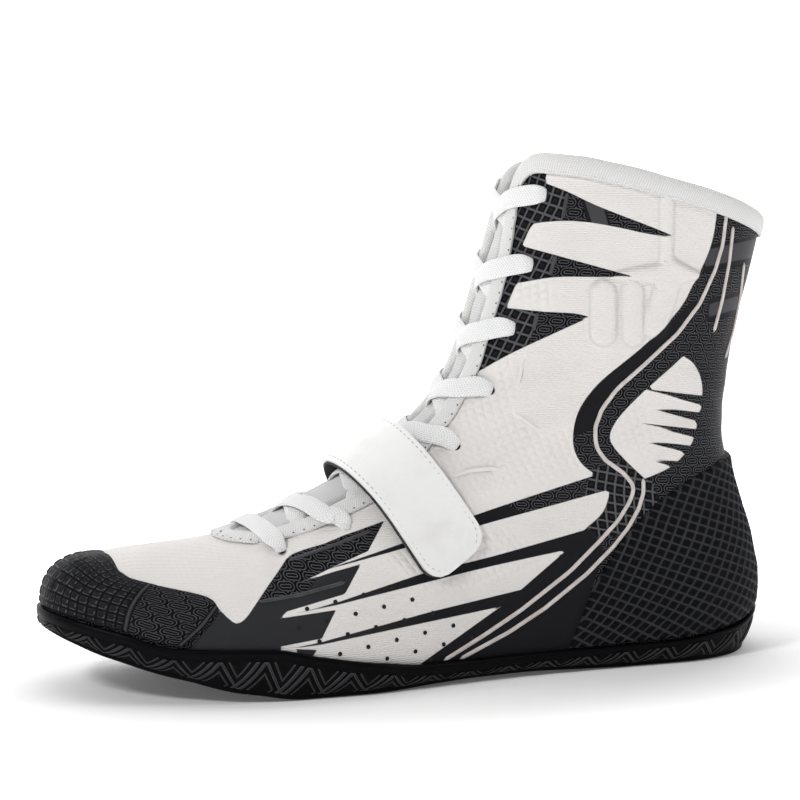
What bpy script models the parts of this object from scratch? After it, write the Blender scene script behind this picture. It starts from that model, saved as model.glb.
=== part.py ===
"""A left boxing shoe with a high cut, built on one last as separate pieces.

Metres, +Z up, toe towards -X, outer (lateral) side towards -Y. The tables are in millimetres:
"along" is measured from the outsole's toe tip towards the heel, "height" from the floor.
"""

import math
from collections import namedtuple

import bmesh
import bpy
import numpy as np

MM = 0.001

# Driving sizes, in millimetres
LENGTH = 290.0
WALL = 2.2
GAP = 0.3
SOLE_WALL = 2.3
LATERAL = -1.0
MEDIAL = 1.0

# How finely lines are sampled, and how widths are searched for inwards from the ridge
FINE = 300
SETTLE_STEPS = 12
BISECTIONS = 48
SEARCH_REACH = 50.0
SHARP_ANGLE = math.radians(40.0)

# How the last's cross-sections turn from foot to shaft
FOOT_TOP = 32.0
SHAFT_BOTTOM = 100.0
VAMP_TOP = 66.0
SHIN_BOTTOM = 126.0
SECTION_POWER = 2.15
SECTION_DEPTH = 0.96
DEPTH_LIMIT = 1.5
TUCK = 0.05
TUCK_HEIGHT = 15.0
TOE_ROUND = {LATERAL: 82.0, MEDIAL: 56.0}
TOE_SHIFT = 5.0
TOE_SHIFT_END = 80.0

Profile = namedtuple("Profile", "along height")
DORSAL = (
    Profile(1.6, 25.0),
    Profile(1.6, 35.0),
    Profile(3.8, 42.6),
    Profile(10.0, 47.8),
    Profile(23.0, 51.0),
    Profile(42.0, 52.0),
    Profile(62.0, 54.6),
    Profile(86.0, 61.6),
    Profile(111.0, 73.2),
    Profile(136.0, 88.0),
    Profile(154.0, 103.0),
    Profile(164.0, 118.0),
    Profile(171.0, 138.0),
    Profile(177.3, 158.0),
    Profile(183.2, 178.0),
    Profile(189.0, 200.0),
)

# The collar's heights on each side, and where it turns into the throat's edge
Collar = namedtuple("Collar", "along lateral medial")
COLLAR = (
    Collar(290.0, 169.0, 169.0),
    Collar(266.0, 178.5, 178.0),
    Collar(236.0, 188.0, 186.6),
    Collar(212.7, 194.4, 192.5),
    Collar(201.0, 196.7, 193.8),
    Collar(193.0, 197.4, 194.5),
)
COLLAR_END = {LATERAL: 193.0, MEDIAL: 212.7}

Back = namedtuple("Back", "height along round")
HEEL_BACK = (
    Back(2.0, 282.6, 40.0),
    Back(12.0, 285.4, 40.0),
    Back(26.0, 288.6, 40.0),
    Back(40.0, 286.8, 41.0),
    Back(60.0, 281.0, 43.0),
    Back(78.0, 276.2, 46.0),
    Back(92.0, 274.4, 48.0),
    Back(108.0, 276.0, 50.0),
    Back(130.0, 280.0, 51.0),
    Back(150.0, 285.2, 52.0),
    Back(180.0, 292.4, 52.0),
)

Station = namedtuple("Station", "along lateral medial")
OUTLINE = (
    Station(0.0, 43.0, 40.0),
    Station(40.0, 44.5, 43.0),
    Station(80.0, 46.4, 46.2),
    Station(102.0, 46.6, 44.5),
    Station(130.0, 43.5, 39.0),
    Station(160.0, 38.5, 33.5),
    Station(200.0, 35.0, 31.5),
    Station(240.0, 34.0, 33.0),
    Station(290.0, 33.5, 33.5),
)

Shaft = namedtuple("Shaft", "height lateral medial front_round")
SHAFT = (
    Shaft(60.0, 33.5, 33.5, 95.0),
    Shaft(90.0, 35.5, 35.5, 88.0),
    Shaft(120.0, 35.0, 35.0, 66.0),
    Shaft(150.0, 36.0, 36.0, 54.0),
    Shaft(200.0, 38.5, 38.5, 51.0),
)

Sole = namedtuple("Sole", "along bottom floor rim_lateral rim_medial")
SOLE = (
    Sole(0.0, 24.5, 27.5, 32.0, 32.0),
    Sole(8.0, 20.5, 24.0, 30.0, 30.0),
    Sole(22.0, 15.0, 18.5, 26.5, 26.5),
    Sole(45.0, 8.2, 12.0, 21.0, 21.0),
    Sole(70.0, 2.4, 6.4, 20.5, 19.0),
    Sole(92.0, 0.0, 4.6, 16.5, 17.0),
    Sole(118.0, 0.0, 4.6, 12.0, 14.0),
    Sole(140.0, 0.9, 5.0, 9.5, 12.0),
    Sole(170.0, 1.4, 5.2, 9.0, 11.0),
    Sole(205.0, 0.5, 5.2, 9.0, 10.0),
    Sole(225.0, 0.0, 5.2, 9.2, 9.6),
    Sole(268.0, 0.0, 5.4, 12.0, 12.0),
    Sole(290.0, 2.4, 6.4, 19.0, 19.0),
)

# The throat's half-gaps on each side, and the heights where they meet the collar
Throat = namedtuple("Throat", "height lateral medial")
THROAT = (
    Throat(56.8, 0.0, 0.0),
    Throat(57.0, 7.0, 7.0),
    Throat(57.5, 12.0, 12.0),
    Throat(59.0, 15.0, 15.0),
    Throat(64.0, 17.0, 17.0),
    Throat(71.0, 17.5, 17.5),
    Throat(84.0, 14.5, 14.5),
    Throat(100.0, 11.0, 11.0),
    Throat(120.0, 9.5, 9.5),
    Throat(145.0, 10.0, 10.4),
    Throat(158.0, 9.8, 10.8),
    Throat(167.0, 8.6, 11.3),
    Throat(174.0, 7.2, 12.2),
    Throat(180.0, 6.3, 13.9),
    Throat(184.0, 5.9, 16.2),
    Throat(188.0, 6.0, 20.8),
    Throat(190.5, 6.7, 26.2),
    Throat(192.5, 7.8, 33.8),
    Throat(194.2, 9.2, 35.0),
    Throat(195.9, 11.6, 35.0),
    Throat(197.0, 14.4, 35.0),
    Throat(197.4, 17.6, 35.0),
)
THROAT_TOP = {LATERAL: 197.4, MEDIAL: 192.5}

# Edges of the moulded overlays on each side, from the rim upwards
CAP_REAR = (
    Profile(44.0, 22.6),
    Profile(51.0, 28.0),
    Profile(57.0, 34.5),
)
CAP_TOP = (
    Profile(57.0, 34.5),
    Profile(53.0, 39.0),
    Profile(36.5, 42.8),
    Profile(26.0, 46.0),
    Profile(24.5, 51.1),
)
COUNTER_FRONT = (
    Profile(198.0, 10.5),
    Profile(203.0, 22.0),
    Profile(208.0, 33.5),
)
COUNTER_TOP = (
    Profile(208.0, 33.5),
    Profile(222.5, 53.0),
    Profile(242.5, 69.0),
    Profile(266.0, 77.5),
)

# Lace holes, by their reach along the ridge from the toe and their distance from the centre plane
Eyelet = namedtuple("Eyelet", "reach across")
EYELETS = (
    Eyelet(99.8, 24.6),
    Eyelet(125.3, 25.5),
    Eyelet(150.6, 24.0),
    Eyelet(175.9, 22.0),
    Eyelet(197.5, 20.6),
    Eyelet(220.8, 21.2),
    Eyelet(245.9, 22.0),
    Eyelet(272.8, 21.0),
)
EYELET_RADIUS = 2.0
EYELET_SIDES = 6
CUTTER_REACH = 3.0 * WALL

# Upper, in columns along each side and rows from sole to top line
SIDE_COLUMNS = 36
UPPER_ROWS = 12
FAN_START = 79.0
HEEL_FLARE_START = 200.0

# Outsole: its wall's steps, counted outwards from the upper
SOLE_COLUMNS = 50
CUP_CLEAR = 0.4
TREAD_INSET = 2.0
EDGE_ROUND = 1.8
WALL_RELIEF = 0.5
LIP_HEIGHT = 2.4
LIP_STEP = 0.7

INSOLE_COLUMNS = 24
INSOLE_THICK = 3.6
INSOLE_CLEAR = 0.5

# Tape that binds the collar and the throat as one loop
BINDING_THICK = 0.9
BINDING_CLEAR = 0.5
TAPE_WIDTH = 6.5
INNER_TAPE = 5.0
LEAST_SLANT = 0.6

OVERLAY_THICK = 1.0
OVERLAY_CLEAR = 0.6
OVERLAY_COLUMNS = 14
OVERLAY_ROWS = 7
OVERLAY_EDGE = 0.8
COUNTER_CROWN = 1.5

TONGUE_START = 74.0
TONGUE_END = 281.0
TONGUE_HALF_WIDTH = 23.0
TONGUE_THICK = 3.0
TONGUE_UNDER = 5.6
TONGUE_PROUD = 2.8
TONGUE_CORNER = 16.0
TONGUE_TIP = 0.45
TONGUE_BEND_START = 273.0
TONGUE_BEND = 7.0
TONGUE_EDGE = 6.0
TONGUE_SLOPE = 5.0
TONGUE_ROWS = 17
TONGUE_COLUMNS = 8

STRAP_REACH = 152.0
STRAP_HALF_WIDTH = 14.5
STRAP_LATERAL = 44.0
STRAP_MEDIAL = 66.0
STRAP_THICK = 2.4
STRAP_CLEAR = 0.5
STRAP_LIFT = 4.8
LIFT_START = 0.4
LIFT_END = 0.95
STRAP_CORNER = 9.0
STRAP_TIP = 0.45
STRAP_COLUMNS = 16
STRAP_ROWS = 2

LACE_HALF_WIDTH = 4.0
LACE_THICK = 1.0
LACE_CLEAR = 2.1
LACE_OVERLAP = 0.5
LACE_DROP = 14.0
LACE_START = 5.0
LACE_STOP = 2.5
LACE_STEPS = 7

Finish = namedtuple("Finish", "colour roughness")
WHITE_KNIT = Finish((0.86, 0.86, 0.85), 0.75)
WHITE_TAPE = Finish((0.88, 0.88, 0.88), 0.8)
WHITE_LEATHER = Finish((0.87, 0.87, 0.86), 0.6)
WHITE_LACE = Finish((0.9, 0.9, 0.9), 0.85)
GREY_MESH = Finish((0.78, 0.78, 0.78), 0.9)
GREY_LINER = Finish((0.7, 0.7, 0.7), 0.9)
BLACK_RUBBER = Finish((0.02, 0.02, 0.022), 0.6)
BLACK_MOULDING = Finish((0.025, 0.025, 0.027), 0.5)


def clear_scene():
    """Removes whatever objects the scene starts with."""
    for item in list(bpy.data.objects):
        bpy.data.objects.remove(item, do_unlink=True)


def smoothstep(value):
    """An S-curve from 0 to 1."""
    held = np.clip(value, 0.0, 1.0)
    return held * held * (3.0 - 2.0 * held)


def table(rows, key, column, at):
    """A column of a table, read along its key by a smooth curve that never overshoots its rows."""
    xs = np.array([getattr(row, key) for row in rows])
    ys = np.array([getattr(row, column) for row in rows])
    order = np.argsort(xs)
    xs, ys = xs[order], ys[order]
    steps = np.diff(xs)
    slopes = np.diff(ys) / steps
    tangents = np.concatenate([slopes[:1], np.zeros(len(xs) - 2), slopes[-1:]])
    same_way = slopes[:-1] * slopes[1:] > 0.0
    before = np.where(same_way, slopes[:-1], 1.0)
    after = np.where(same_way, slopes[1:], 1.0)
    tangents[1:-1] = np.where(same_way, 2.0 * before * after / (before + after), 0.0)
    held = np.clip(np.asarray(at, float), xs[0], xs[-1])
    index = np.clip(np.searchsorted(xs, held) - 1, 0, len(steps) - 1)
    part = (held - xs[index]) / steps[index]
    low = ys[index] + part * steps[index] * tangents[index]
    high = ys[index + 1] - (1.0 - part) * steps[index] * tangents[index + 1]
    blend = part * part * (3.0 - 2.0 * part)
    return low * (1.0 - blend) + high * blend


def smooth_line(rows, count):
    """A Catmull-Rom line through a table's along and height, as count points."""
    knots = np.array([(row.along, row.height) for row in rows])
    padded = np.vstack([2 * knots[0] - knots[1], knots, 2 * knots[-1] - knots[-2]])
    at = np.linspace(0.0, len(knots) - 1.0, count)
    index = np.minimum(at.astype(int), len(knots) - 2)
    part = (at - index)[:, None]
    before, start, end, after = (padded[index + shift] for shift in range(4))
    bend = 2 * before - 5 * start + 4 * end - after
    twist = 3 * (start - end) + after - before
    return start + 0.5 * part * (end - before + part * (bend + part * twist))


DORSAL_LINE = smooth_line(DORSAL, FINE)
TOP_START = int(np.argmin(DORSAL_LINE[:, 0]))


def dorsal_height(along):
    """Height of the ridge over a place along the foot."""
    return np.interp(along, DORSAL_LINE[TOP_START:, 0], DORSAL_LINE[TOP_START:, 1])


def dorsal_along(height):
    """Place of the ridge, toe front or shin at a height."""
    return np.interp(height, DORSAL_LINE[:, 1], DORSAL_LINE[:, 0])


def rounding(depth):
    """How far a cross-section has swelled at a depth under its ridge: 0 on the ridge, 1 at full width."""
    held = np.clip(depth, 0.0, 1.0)
    return (1.0 - (1.0 - held) ** SECTION_POWER) ** (1.0 / SECTION_POWER)


def side_name(side):
    """The tables' column for a side."""
    return "lateral" if side == LATERAL else "medial"


def ridge_depth(along, height):
    """Depth under the ridge, from vertical sections on the foot to level ones on the shaft."""
    floor = table(SOLE, "along", "floor", along)
    top = dorsal_height(along)
    upright = (top - height) / (SECTION_DEPTH * np.maximum(top - floor, 1.0))
    level = (along - dorsal_along(height)) / table(SHAFT, "height", "front_round", height)
    foot_share = 1.0 - smoothstep((height - VAMP_TOP) / (SHIN_BOTTOM - VAMP_TOP))
    return foot_share * np.minimum(upright, DEPTH_LIMIT) + (1.0 - foot_share) * level


def full_width(side, along, height):
    """Half-width before the ridge, toe and heel are rounded off."""
    name = side_name(side)
    foot = table(OUTLINE, "along", name, along)
    shaft = table(SHAFT, "height", name, height)
    floor = table(SOLE, "along", "floor", along)
    share = smoothstep((height - FOOT_TOP) / (SHAFT_BOTTOM - FOOT_TOP))
    tuck = TUCK * np.clip(1.0 - (height - floor) / TUCK_HEIGHT, 0.0, 1.0) ** 2
    return (foot * (1.0 - share) + shaft * share) * (1.0 - tuck)


def half_width(side, along, height):
    """Half-width of the last's outer surface."""
    toe = rounding((along - DORSAL_LINE[TOP_START, 0]) / TOE_ROUND[side])
    back_along = table(HEEL_BACK, "height", "along", height)
    back = rounding((back_along - along) / table(HEEL_BACK, "height", "round", height))
    return full_width(side, along, height) * toe * back * rounding(ridge_depth(along, height))


def centre(along):
    """The toe's shift towards the inner side."""
    return TOE_SHIFT * smoothstep(1.0 - along / TOE_SHIFT_END)


def on_last(side, places):
    """Points on the last's outer surface over side-view places, in millimetres."""
    along, height = places[..., 0], places[..., 1]
    across = centre(along) + side * half_width(side, along, height)
    return np.stack([along - LENGTH / 2, across, height], axis=-1)


def arc_length(points):
    """Running length along a line of points."""
    return np.concatenate([[0.0], np.cumsum(np.linalg.norm(np.diff(points, axis=0), axis=1))])


def respace(places, length, count):
    """A line of side-view places read again at even steps of a running length."""
    at = np.linspace(0.0, length[-1], count)
    return np.stack([np.interp(at, length, places[:, axis]) for axis in (0, 1)], axis=-1)


def spaced(side, places, count):
    """Side-view places respaced evenly over the last's surface."""
    return respace(places, arc_length(on_last(side, places)), count)


def end_to_end(start, end, count):
    """Numbers from start to end, closest together at both ends."""
    return start + (end - start) * (1.0 - np.cos(np.linspace(0.0, math.pi, count))) / 2.0


def heel_end(height_at):
    """Where a line that runs around the heel crosses the heel's back."""
    along = LENGTH
    for _ in range(SETTLE_STEPS):
        along = float(table(HEEL_BACK, "height", "along", height_at(along)))
    return along


def foot_line(side, share, lift):
    """A line around the foot from the heel's back to the toe, between the sole's floor and its rim."""

    def height_at(along):
        floor = table(SOLE, "along", "floor", along)
        rim = table(SOLE, "along", "rim_" + side_name(side), along)
        return floor + share * (rim - floor) + lift

    along = end_to_end(heel_end(height_at), DORSAL_LINE[TOP_START, 0], FINE)
    return np.stack([along, height_at(along)], axis=-1)


def throat_edge(side):
    """The throat's edge from the collar's front corner down to the vamp point."""
    height = end_to_end(THROAT_TOP[side], THROAT[0].height, FINE)
    gap = table(THROAT, "height", side_name(side), height)
    low = dorsal_along(height)
    high = low + SEARCH_REACH
    for _ in range(BISECTIONS):
        middle = (low + high) / 2.0
        wide = half_width(side, middle, height) > gap
        low = np.where(wide, low, middle)
        high = np.where(wide, middle, high)
    return np.stack([high, height], axis=-1)


def top_line(side):
    """Collar and throat edge as one line, from the heel's back to the vamp point."""

    def height_at(along):
        return table(COLLAR, "along", side_name(side), along)

    along = end_to_end(heel_end(height_at), COLLAR_END[side], FINE)
    collar = np.stack([along, height_at(along)], axis=-1)
    return np.vstack([collar, throat_edge(side)])


def back_line(low, high):
    """The heel's back between two heights."""
    height = np.linspace(low, high, FINE)
    return np.stack([table(HEEL_BACK, "height", "along", height), height], axis=-1)


def front_line(low, high):
    """Toe front and ridge between two heights."""
    height = np.linspace(low, high, FINE)
    line = np.stack([dorsal_along(height), height], axis=-1)
    flat = DORSAL_LINE[(DORSAL_LINE[:, 1] > low) & (DORSAL_LINE[:, 1] < high)]
    joined = np.vstack([line, flat])
    return joined[np.argsort(joined[:, 1], kind="stable")]


def coons(bottom, top, left, right):
    """Side-view places filled in between four edge lines."""
    across = np.linspace(0.0, 1.0, len(bottom))[:, None, None]
    up = np.linspace(0.0, 1.0, len(left))[None, :, None]
    ruled = (1 - up) * bottom[:, None] + up * top[:, None] + (1 - across) * left + across * right
    near = (1 - up) * bottom[0] + up * top[0]
    far = (1 - up) * bottom[-1] + up * top[-1]
    return ruled - (1 - across) * near - across * far


def centred(grid, column):
    """Puts one column of a grid on the centre plane."""
    grid[column, :, 1] = centre(grid[column, :, 0] + LENGTH / 2)
    return grid


def side_columns(side, columns):
    """Foot and head of each column of one side: places on the sole line and on the top line."""
    foot = foot_line(side, 0.0, GAP)
    head = top_line(side)
    foot_run = arc_length(on_last(side, foot))
    head_run = arc_length(on_last(side, head))
    to_heel = np.clip((foot[:, 0] - HEEL_FLARE_START) / (foot[0, 0] - HEEL_FLARE_START), 0.0, 1.0)
    over = foot[:, 0] + (head[0, 0] - foot[0, 0]) * to_heel
    upright = np.interp(-over, -head[:, 0], head_run)
    split = int(np.argmax(foot[:, 0] < FAN_START))
    share = (foot_run - foot_run[split]) / (foot_run[-1] - foot_run[split])
    fanned = upright[split] + (head_run[-1] - upright[split]) * share
    run = np.where(np.arange(len(foot)) < split, upright, fanned)
    progress = np.concatenate([[0.0], np.cumsum(np.maximum(np.diff(foot_run), np.diff(run)))])
    at = np.linspace(0.0, progress[-1], columns + 1)
    feet = np.stack([np.interp(at, progress, foot[:, axis]) for axis in (0, 1)], axis=-1)
    heads = np.interp(at, progress, run)
    return feet, np.stack([np.interp(heads, head_run, head[:, axis]) for axis in (0, 1)], axis=-1)


def upper_side(side, columns, rows):
    """One side of the upper's outer surface, heel to toe and sole to top line."""
    feet, heads = side_columns(side, columns)
    front = front_line(feet[-1, 1], heads[-1, 1])
    front = respace(front, arc_length(front), rows + 1)
    even = np.linspace(0.0, 1.0, rows + 1)[None, :, None]
    shaped = ((front - front[0]) / (front[-1] - front[0]))[None]
    toe_share = smoothstep((FAN_START - feet[:, 0]) / (FAN_START - feet[-1, 0]))[:, None, None]
    rise = even + toe_share * (shaped - even)
    places = feet[:, None] + (heads - feet)[:, None] * rise
    heel_share = smoothstep((feet[:, 0] - HEEL_FLARE_START) / (feet[0, 0] - HEEL_FLARE_START))[:, None]
    level = places[..., 1]
    chord = np.interp(level, (feet[0, 1], heads[0, 1]), (feet[0, 0], heads[0, 0]))
    places[..., 0] += heel_share * (table(HEEL_BACK, "height", "along", level) - chord)
    grid = on_last(side, places)
    return centred(centred(grid, 0), -1)


def ring(lateral, medial):
    """Two sides that share their end columns, as one closed loop of columns."""
    return np.concatenate([lateral, medial[-2:0:-1]])


def grid_normals(grid, closed):
    """Unit normals of a grid of points, pointing out of the shoe."""
    if closed:
        around = np.roll(grid, -1, axis=0) - np.roll(grid, 1, axis=0)
    else:
        around = np.gradient(grid, axis=0)
    normal = np.cross(np.gradient(grid, axis=1), around)
    return normal / np.maximum(np.linalg.norm(normal, axis=-1, keepdims=True), 1e-9)


def sheet_faces(columns, rows, closed):
    """Triangles of a grid, all split the same way so that parallel skins stay apart."""
    count = columns if closed else columns - 1
    faces = []
    for column in range(count):
        after = (column + 1) % columns
        for row in range(rows - 1):
            corner, beside = column * rows + row, after * rows + row
            faces.append((corner, beside, beside + 1))
            faces.append((corner, beside + 1, corner + 1))
    return faces


def edge_loops(columns, rows, closed):
    """Point numbers around a grid's open edges."""
    bottom = [column * rows for column in range(columns)]
    top = [column * rows + rows - 1 for column in range(columns)]
    if closed:
        return [bottom, top]
    left = list(range(1, rows - 1))
    right = [(columns - 1) * rows + row for row in range(1, rows - 1)]
    return [bottom + right + top[::-1] + left[::-1]]


def slab(outer, inner, closed):
    """Points and faces of the wall between two grids."""
    columns, rows = outer.shape[:2]
    total = columns * rows
    skin = sheet_faces(columns, rows, closed)
    faces = skin + [tuple(index + total for index in face) for face in skin]
    for loop in edge_loops(columns, rows, closed):
        for start, end in zip(loop, loop[1:] + loop[:1]):
            faces.append((start, end, end + total, start + total))
    points = np.vstack([outer.reshape(-1, 3), inner.reshape(-1, 3)])
    return points, faces


def material(name, finish):
    """A plain material of a finish's colour and roughness."""
    made = bpy.data.materials.new(name)
    made.use_nodes = True
    shader = made.node_tree.nodes["Principled BSDF"]
    shader.inputs["Base Color"].default_value = (*finish.colour, 1.0)
    shader.inputs["Roughness"].default_value = finish.roughness
    return made


def solid(name, points, faces, finish):
    """An object made of one closed body, from points in millimetres."""
    mesh = bpy.data.meshes.new(name)
    mesh.from_pydata((np.asarray(points) * MM).tolist(), [], faces)
    work = bmesh.new()
    work.from_mesh(mesh)
    bmesh.ops.recalc_face_normals(work, faces=work.faces)
    work.to_mesh(mesh)
    work.free()
    mesh.shade_smooth()
    mesh.set_sharp_from_angle(angle=SHARP_ANGLE)
    mesh.materials.append(material(name, finish))
    item = bpy.data.objects.new(name, mesh)
    bpy.context.scene.collection.objects.link(item)
    return item


def helper(item):
    """Marks an object as a cutter or an operand."""
    item.hide_render = True
    item.display_type = "WIRE"
    return item


def combine(item, other, operation):
    """Joins or cuts an object with a helper object."""
    change = item.modifiers.new(other.name, "BOOLEAN")
    change.object = helper(other)
    change.operation = operation
    change.solver = "EXACT"


DORSAL_REACH = arc_length(DORSAL_LINE)


def ridge_frame(reach):
    """The ridge's point and its inward direction, in side view, at a reach from the toe."""
    tangent = np.gradient(DORSAL_LINE, axis=0)
    tangent /= np.linalg.norm(tangent, axis=1, keepdims=True)
    point = np.stack([np.interp(reach, DORSAL_REACH, DORSAL_LINE[:, axis]) for axis in (0, 1)], -1)
    along = np.stack([np.interp(reach, DORSAL_REACH, tangent[:, axis]) for axis in (0, 1)], -1)
    return point, np.stack([along[..., 1], -along[..., 0]], axis=-1)


def instep(reach, across):
    """Points on the last over the instep, by reach along the ridge and distance across it."""
    reach, across = np.broadcast_arrays(np.asarray(reach, float), np.asarray(across, float))
    point, inward = ridge_frame(reach)
    low = np.zeros_like(reach)
    high = np.full_like(reach, SEARCH_REACH)
    lateral = across < 0.0
    for _ in range(BISECTIONS):
        middle = (low + high) / 2.0
        place = point + inward * middle[..., None]
        width = np.where(
            lateral,
            half_width(LATERAL, place[..., 0], place[..., 1]),
            half_width(MEDIAL, place[..., 0], place[..., 1]),
        )
        wide = width > np.abs(across)
        low = np.where(wide, low, middle)
        high = np.where(wide, middle, high)
    place = point + inward * high[..., None]
    along = place[..., 0]
    return np.stack([along - LENGTH / 2, centre(along) + across, place[..., 1]], axis=-1)


def throat_gap(reach):
    """Half the throat's width at a reach along the ridge."""
    point, _ = ridge_frame(np.asarray(reach, float))
    return table(THROAT, "height", "lateral", point[..., 1])


def upper_skins():
    """The upper's outer grid, its normals, and its inner grid."""
    outer = ring(upper_side(LATERAL, SIDE_COLUMNS, UPPER_ROWS), upper_side(MEDIAL, SIDE_COLUMNS, UPPER_ROWS))
    normal = grid_normals(outer, True)
    return outer, normal, outer - WALL * normal


def build_upper():
    """The hollow upper: one wall from the sole to the collar and throat, with its lace holes."""
    outer, _, inner = upper_skins()
    item = solid("upper", *slab(outer, inner, True), WHITE_KNIT)
    for row, eyelet in enumerate(EYELETS, start=1):
        for side in (LATERAL, MEDIAL):
            combine(item, eyelet_cutter(row, side, eyelet), "DIFFERENCE")


def eyelet_cutter(row, side, eyelet):
    """A prism through the wall at one lace hole."""
    spots = instep(
        np.array([eyelet.reach, eyelet.reach + 1.0, eyelet.reach]),
        side * np.array([eyelet.across, eyelet.across, eyelet.across - 1.0]),
    )
    spot = spots[0]
    first = spots[1] - spot
    first /= np.linalg.norm(first)
    axis = np.cross(first, spots[2] - spot)
    axis /= np.linalg.norm(axis)
    second = np.cross(axis, first)
    turns = 2.0 * math.pi * np.arange(EYELET_SIDES) / EYELET_SIDES
    circle = EYELET_RADIUS * (np.cos(turns)[:, None] * first + np.sin(turns)[:, None] * second)
    outer = spot + circle + CUTTER_REACH * axis
    inner = spot + circle - CUTTER_REACH * axis
    points = np.vstack([outer, inner])
    count = EYELET_SIDES
    faces = [tuple(range(count)), tuple(range(count, 2 * count))]
    for index in range(count):
        after = (index + 1) % count
        faces.append((index, after, after + count, index + count))
    name = "eyelet_cutter_%s_%d" % (side_name(side), row)
    return solid(name, points, faces, WHITE_KNIT)


def foot_loop(share, lift, columns):
    """A closed loop around the foot between floor and rim, with its outward plan directions."""
    sides = []
    for side in (LATERAL, MEDIAL):
        points = on_last(side, spaced(side, foot_line(side, share, lift), columns + 1))
        for end in (0, -1):
            points[end, 1] = centre(points[end, 0] + LENGTH / 2)
        sides.append(points)
    loop = ring(*sides)
    along = np.roll(loop, -1, axis=0) - np.roll(loop, 1, axis=0)
    outward = np.stack([-along[:, 1], along[:, 0], 0.0 * along[:, 0]], axis=-1)
    outward /= np.linalg.norm(outward, axis=1, keepdims=True)
    return loop, outward


def spined(rows, under, over, columns):
    """Points and faces of a body with rings of points closed by a spine below and one above."""
    count = 2 * columns
    points = np.vstack([*rows, under, over])
    faces = []
    for level in range(len(rows) - 1):
        for column in range(count):
            after = (column + 1) % count
            low, high = level * count, (level + 1) * count
            faces.append((low + column, low + after, high + after, high + column))
    for spine, level in ((len(rows) * count, 0), (len(rows) * count + columns + 1, len(rows) - 1)):
        start = level * count
        for column in range(columns):
            for first, second in ((column, column + 1), (-column % count, -(column + 1) % count)):
                faces.append((spine + column, spine + column + 1, start + second, start + first))
    return points, faces


def spine_line(loop, columns):
    """The middle line of a loop, drawn in a little at both ends."""
    lateral = loop[: columns + 1]
    medial = np.concatenate([loop[:1], loop[columns:][::-1]])
    middle = (lateral + medial) / 2.0
    middle[0] = 0.5 * (middle[0] + middle[1])
    middle[-1] = 0.5 * (middle[-1] + middle[-2])
    return middle


def at_height(points, heights):
    """Points moved to other heights."""
    return np.stack([points[:, 0], points[:, 1], heights], axis=-1)


def build_outsole():
    """The rubber cup: tread, ribbed wall, lip, and the floor that the foot stands over."""
    floor, floor_out = foot_loop(0.0, 0.0, SOLE_COLUMNS)
    waist, waist_out = foot_loop(0.5, 0.0, SOLE_COLUMNS)
    rim, rim_out = foot_loop(1.0, 0.0, SOLE_COLUMNS)
    bottom = table(SOLE, "along", "bottom", floor[:, 0] + LENGTH / 2)
    rib = np.where(np.arange(2 * SOLE_COLUMNS) % 2 == 0, WALL_RELIEF, 0.0)[:, None]
    full = CUP_CLEAR + SOLE_WALL
    halfway = (bottom + rim[:, 2] - LIP_HEIGHT) / 2.0
    rows = [
        at_height(floor - TREAD_INSET * floor_out, bottom),
        at_height(floor + (full - EDGE_ROUND) * floor_out, bottom + EDGE_ROUND),
        at_height((floor + rim) / 2.0 + (full - LIP_STEP + rib) * rim_out, halfway),
        at_height(rim + (full - LIP_STEP) * rim_out, rim[:, 2] - LIP_HEIGHT),
        at_height(rim + full * rim_out, rim[:, 2] - LIP_HEIGHT + LIP_STEP),
        at_height(rim + full * rim_out, rim[:, 2]),
        rim + CUP_CLEAR * rim_out,
        waist + CUP_CLEAR * waist_out,
        floor + CUP_CLEAR * floor_out,
    ]
    under = spine_line(rows[0], SOLE_COLUMNS)
    under[:, 2] = table(SOLE, "along", "bottom", under[:, 0] + LENGTH / 2)
    over = spine_line(rows[-1], SOLE_COLUMNS)
    over[:, 2] = table(SOLE, "along", "floor", over[:, 0] + LENGTH / 2)
    points, faces = spined(rows, under, over, SOLE_COLUMNS)
    solid("outsole", points, faces, BLACK_RUBBER)


def build_insole():
    """The sock liner that lies on the cup's floor inside the upper."""
    floor, out = foot_loop(0.0, GAP, INSOLE_COLUMNS)
    edge = floor - (WALL + INSOLE_CLEAR) * out
    low = at_height(edge, floor[:, 2])
    high = at_height(edge, floor[:, 2] + INSOLE_THICK)
    under = spine_line(low, INSOLE_COLUMNS)
    over = spine_line(high, INSOLE_COLUMNS)
    points, faces = spined([low, high], under, over, INSOLE_COLUMNS)
    solid("insole", points, faces, GREY_LINER)


def build_binding():
    """The tape folded over the collar and throat edge as one loop."""
    outer, normal, inner = upper_skins()
    edge = outer[:, -1]
    along = np.roll(edge, -1, axis=0) - np.roll(edge, 1, axis=0)
    along /= np.linalg.norm(along, axis=1, keepdims=True)
    beyond = np.cross(along, normal[:, -1])
    beyond *= np.sign(np.sum(beyond * (outer[:, -1] - outer[:, -2]), axis=1))[:, None]
    width = np.full(len(edge), TAPE_WIDTH)
    path = []
    for share in (1.0, 0.5):
        path.append(down_column(outer, normal, beyond, share * width) + (1.0, 0.0))
    path.append((edge, normal[:, -1], 1.0, 1.0))
    path.append((inner[:, -1], normal[:, -1], -1.0, 1.0))
    path.append(down_column(inner, normal, beyond, np.full(len(edge), INNER_TAPE)) + (-1.0, 0.0))
    skins = []
    for off in (BINDING_CLEAR + BINDING_THICK, BINDING_CLEAR):
        rows = [spot + off * (facing * out + rise * beyond) for spot, out, facing, rise in path]
        skins.append(np.stack(rows, axis=1))
    points, faces = slab(*skins, True)
    solid("binding", points, faces, WHITE_TAPE)


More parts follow.
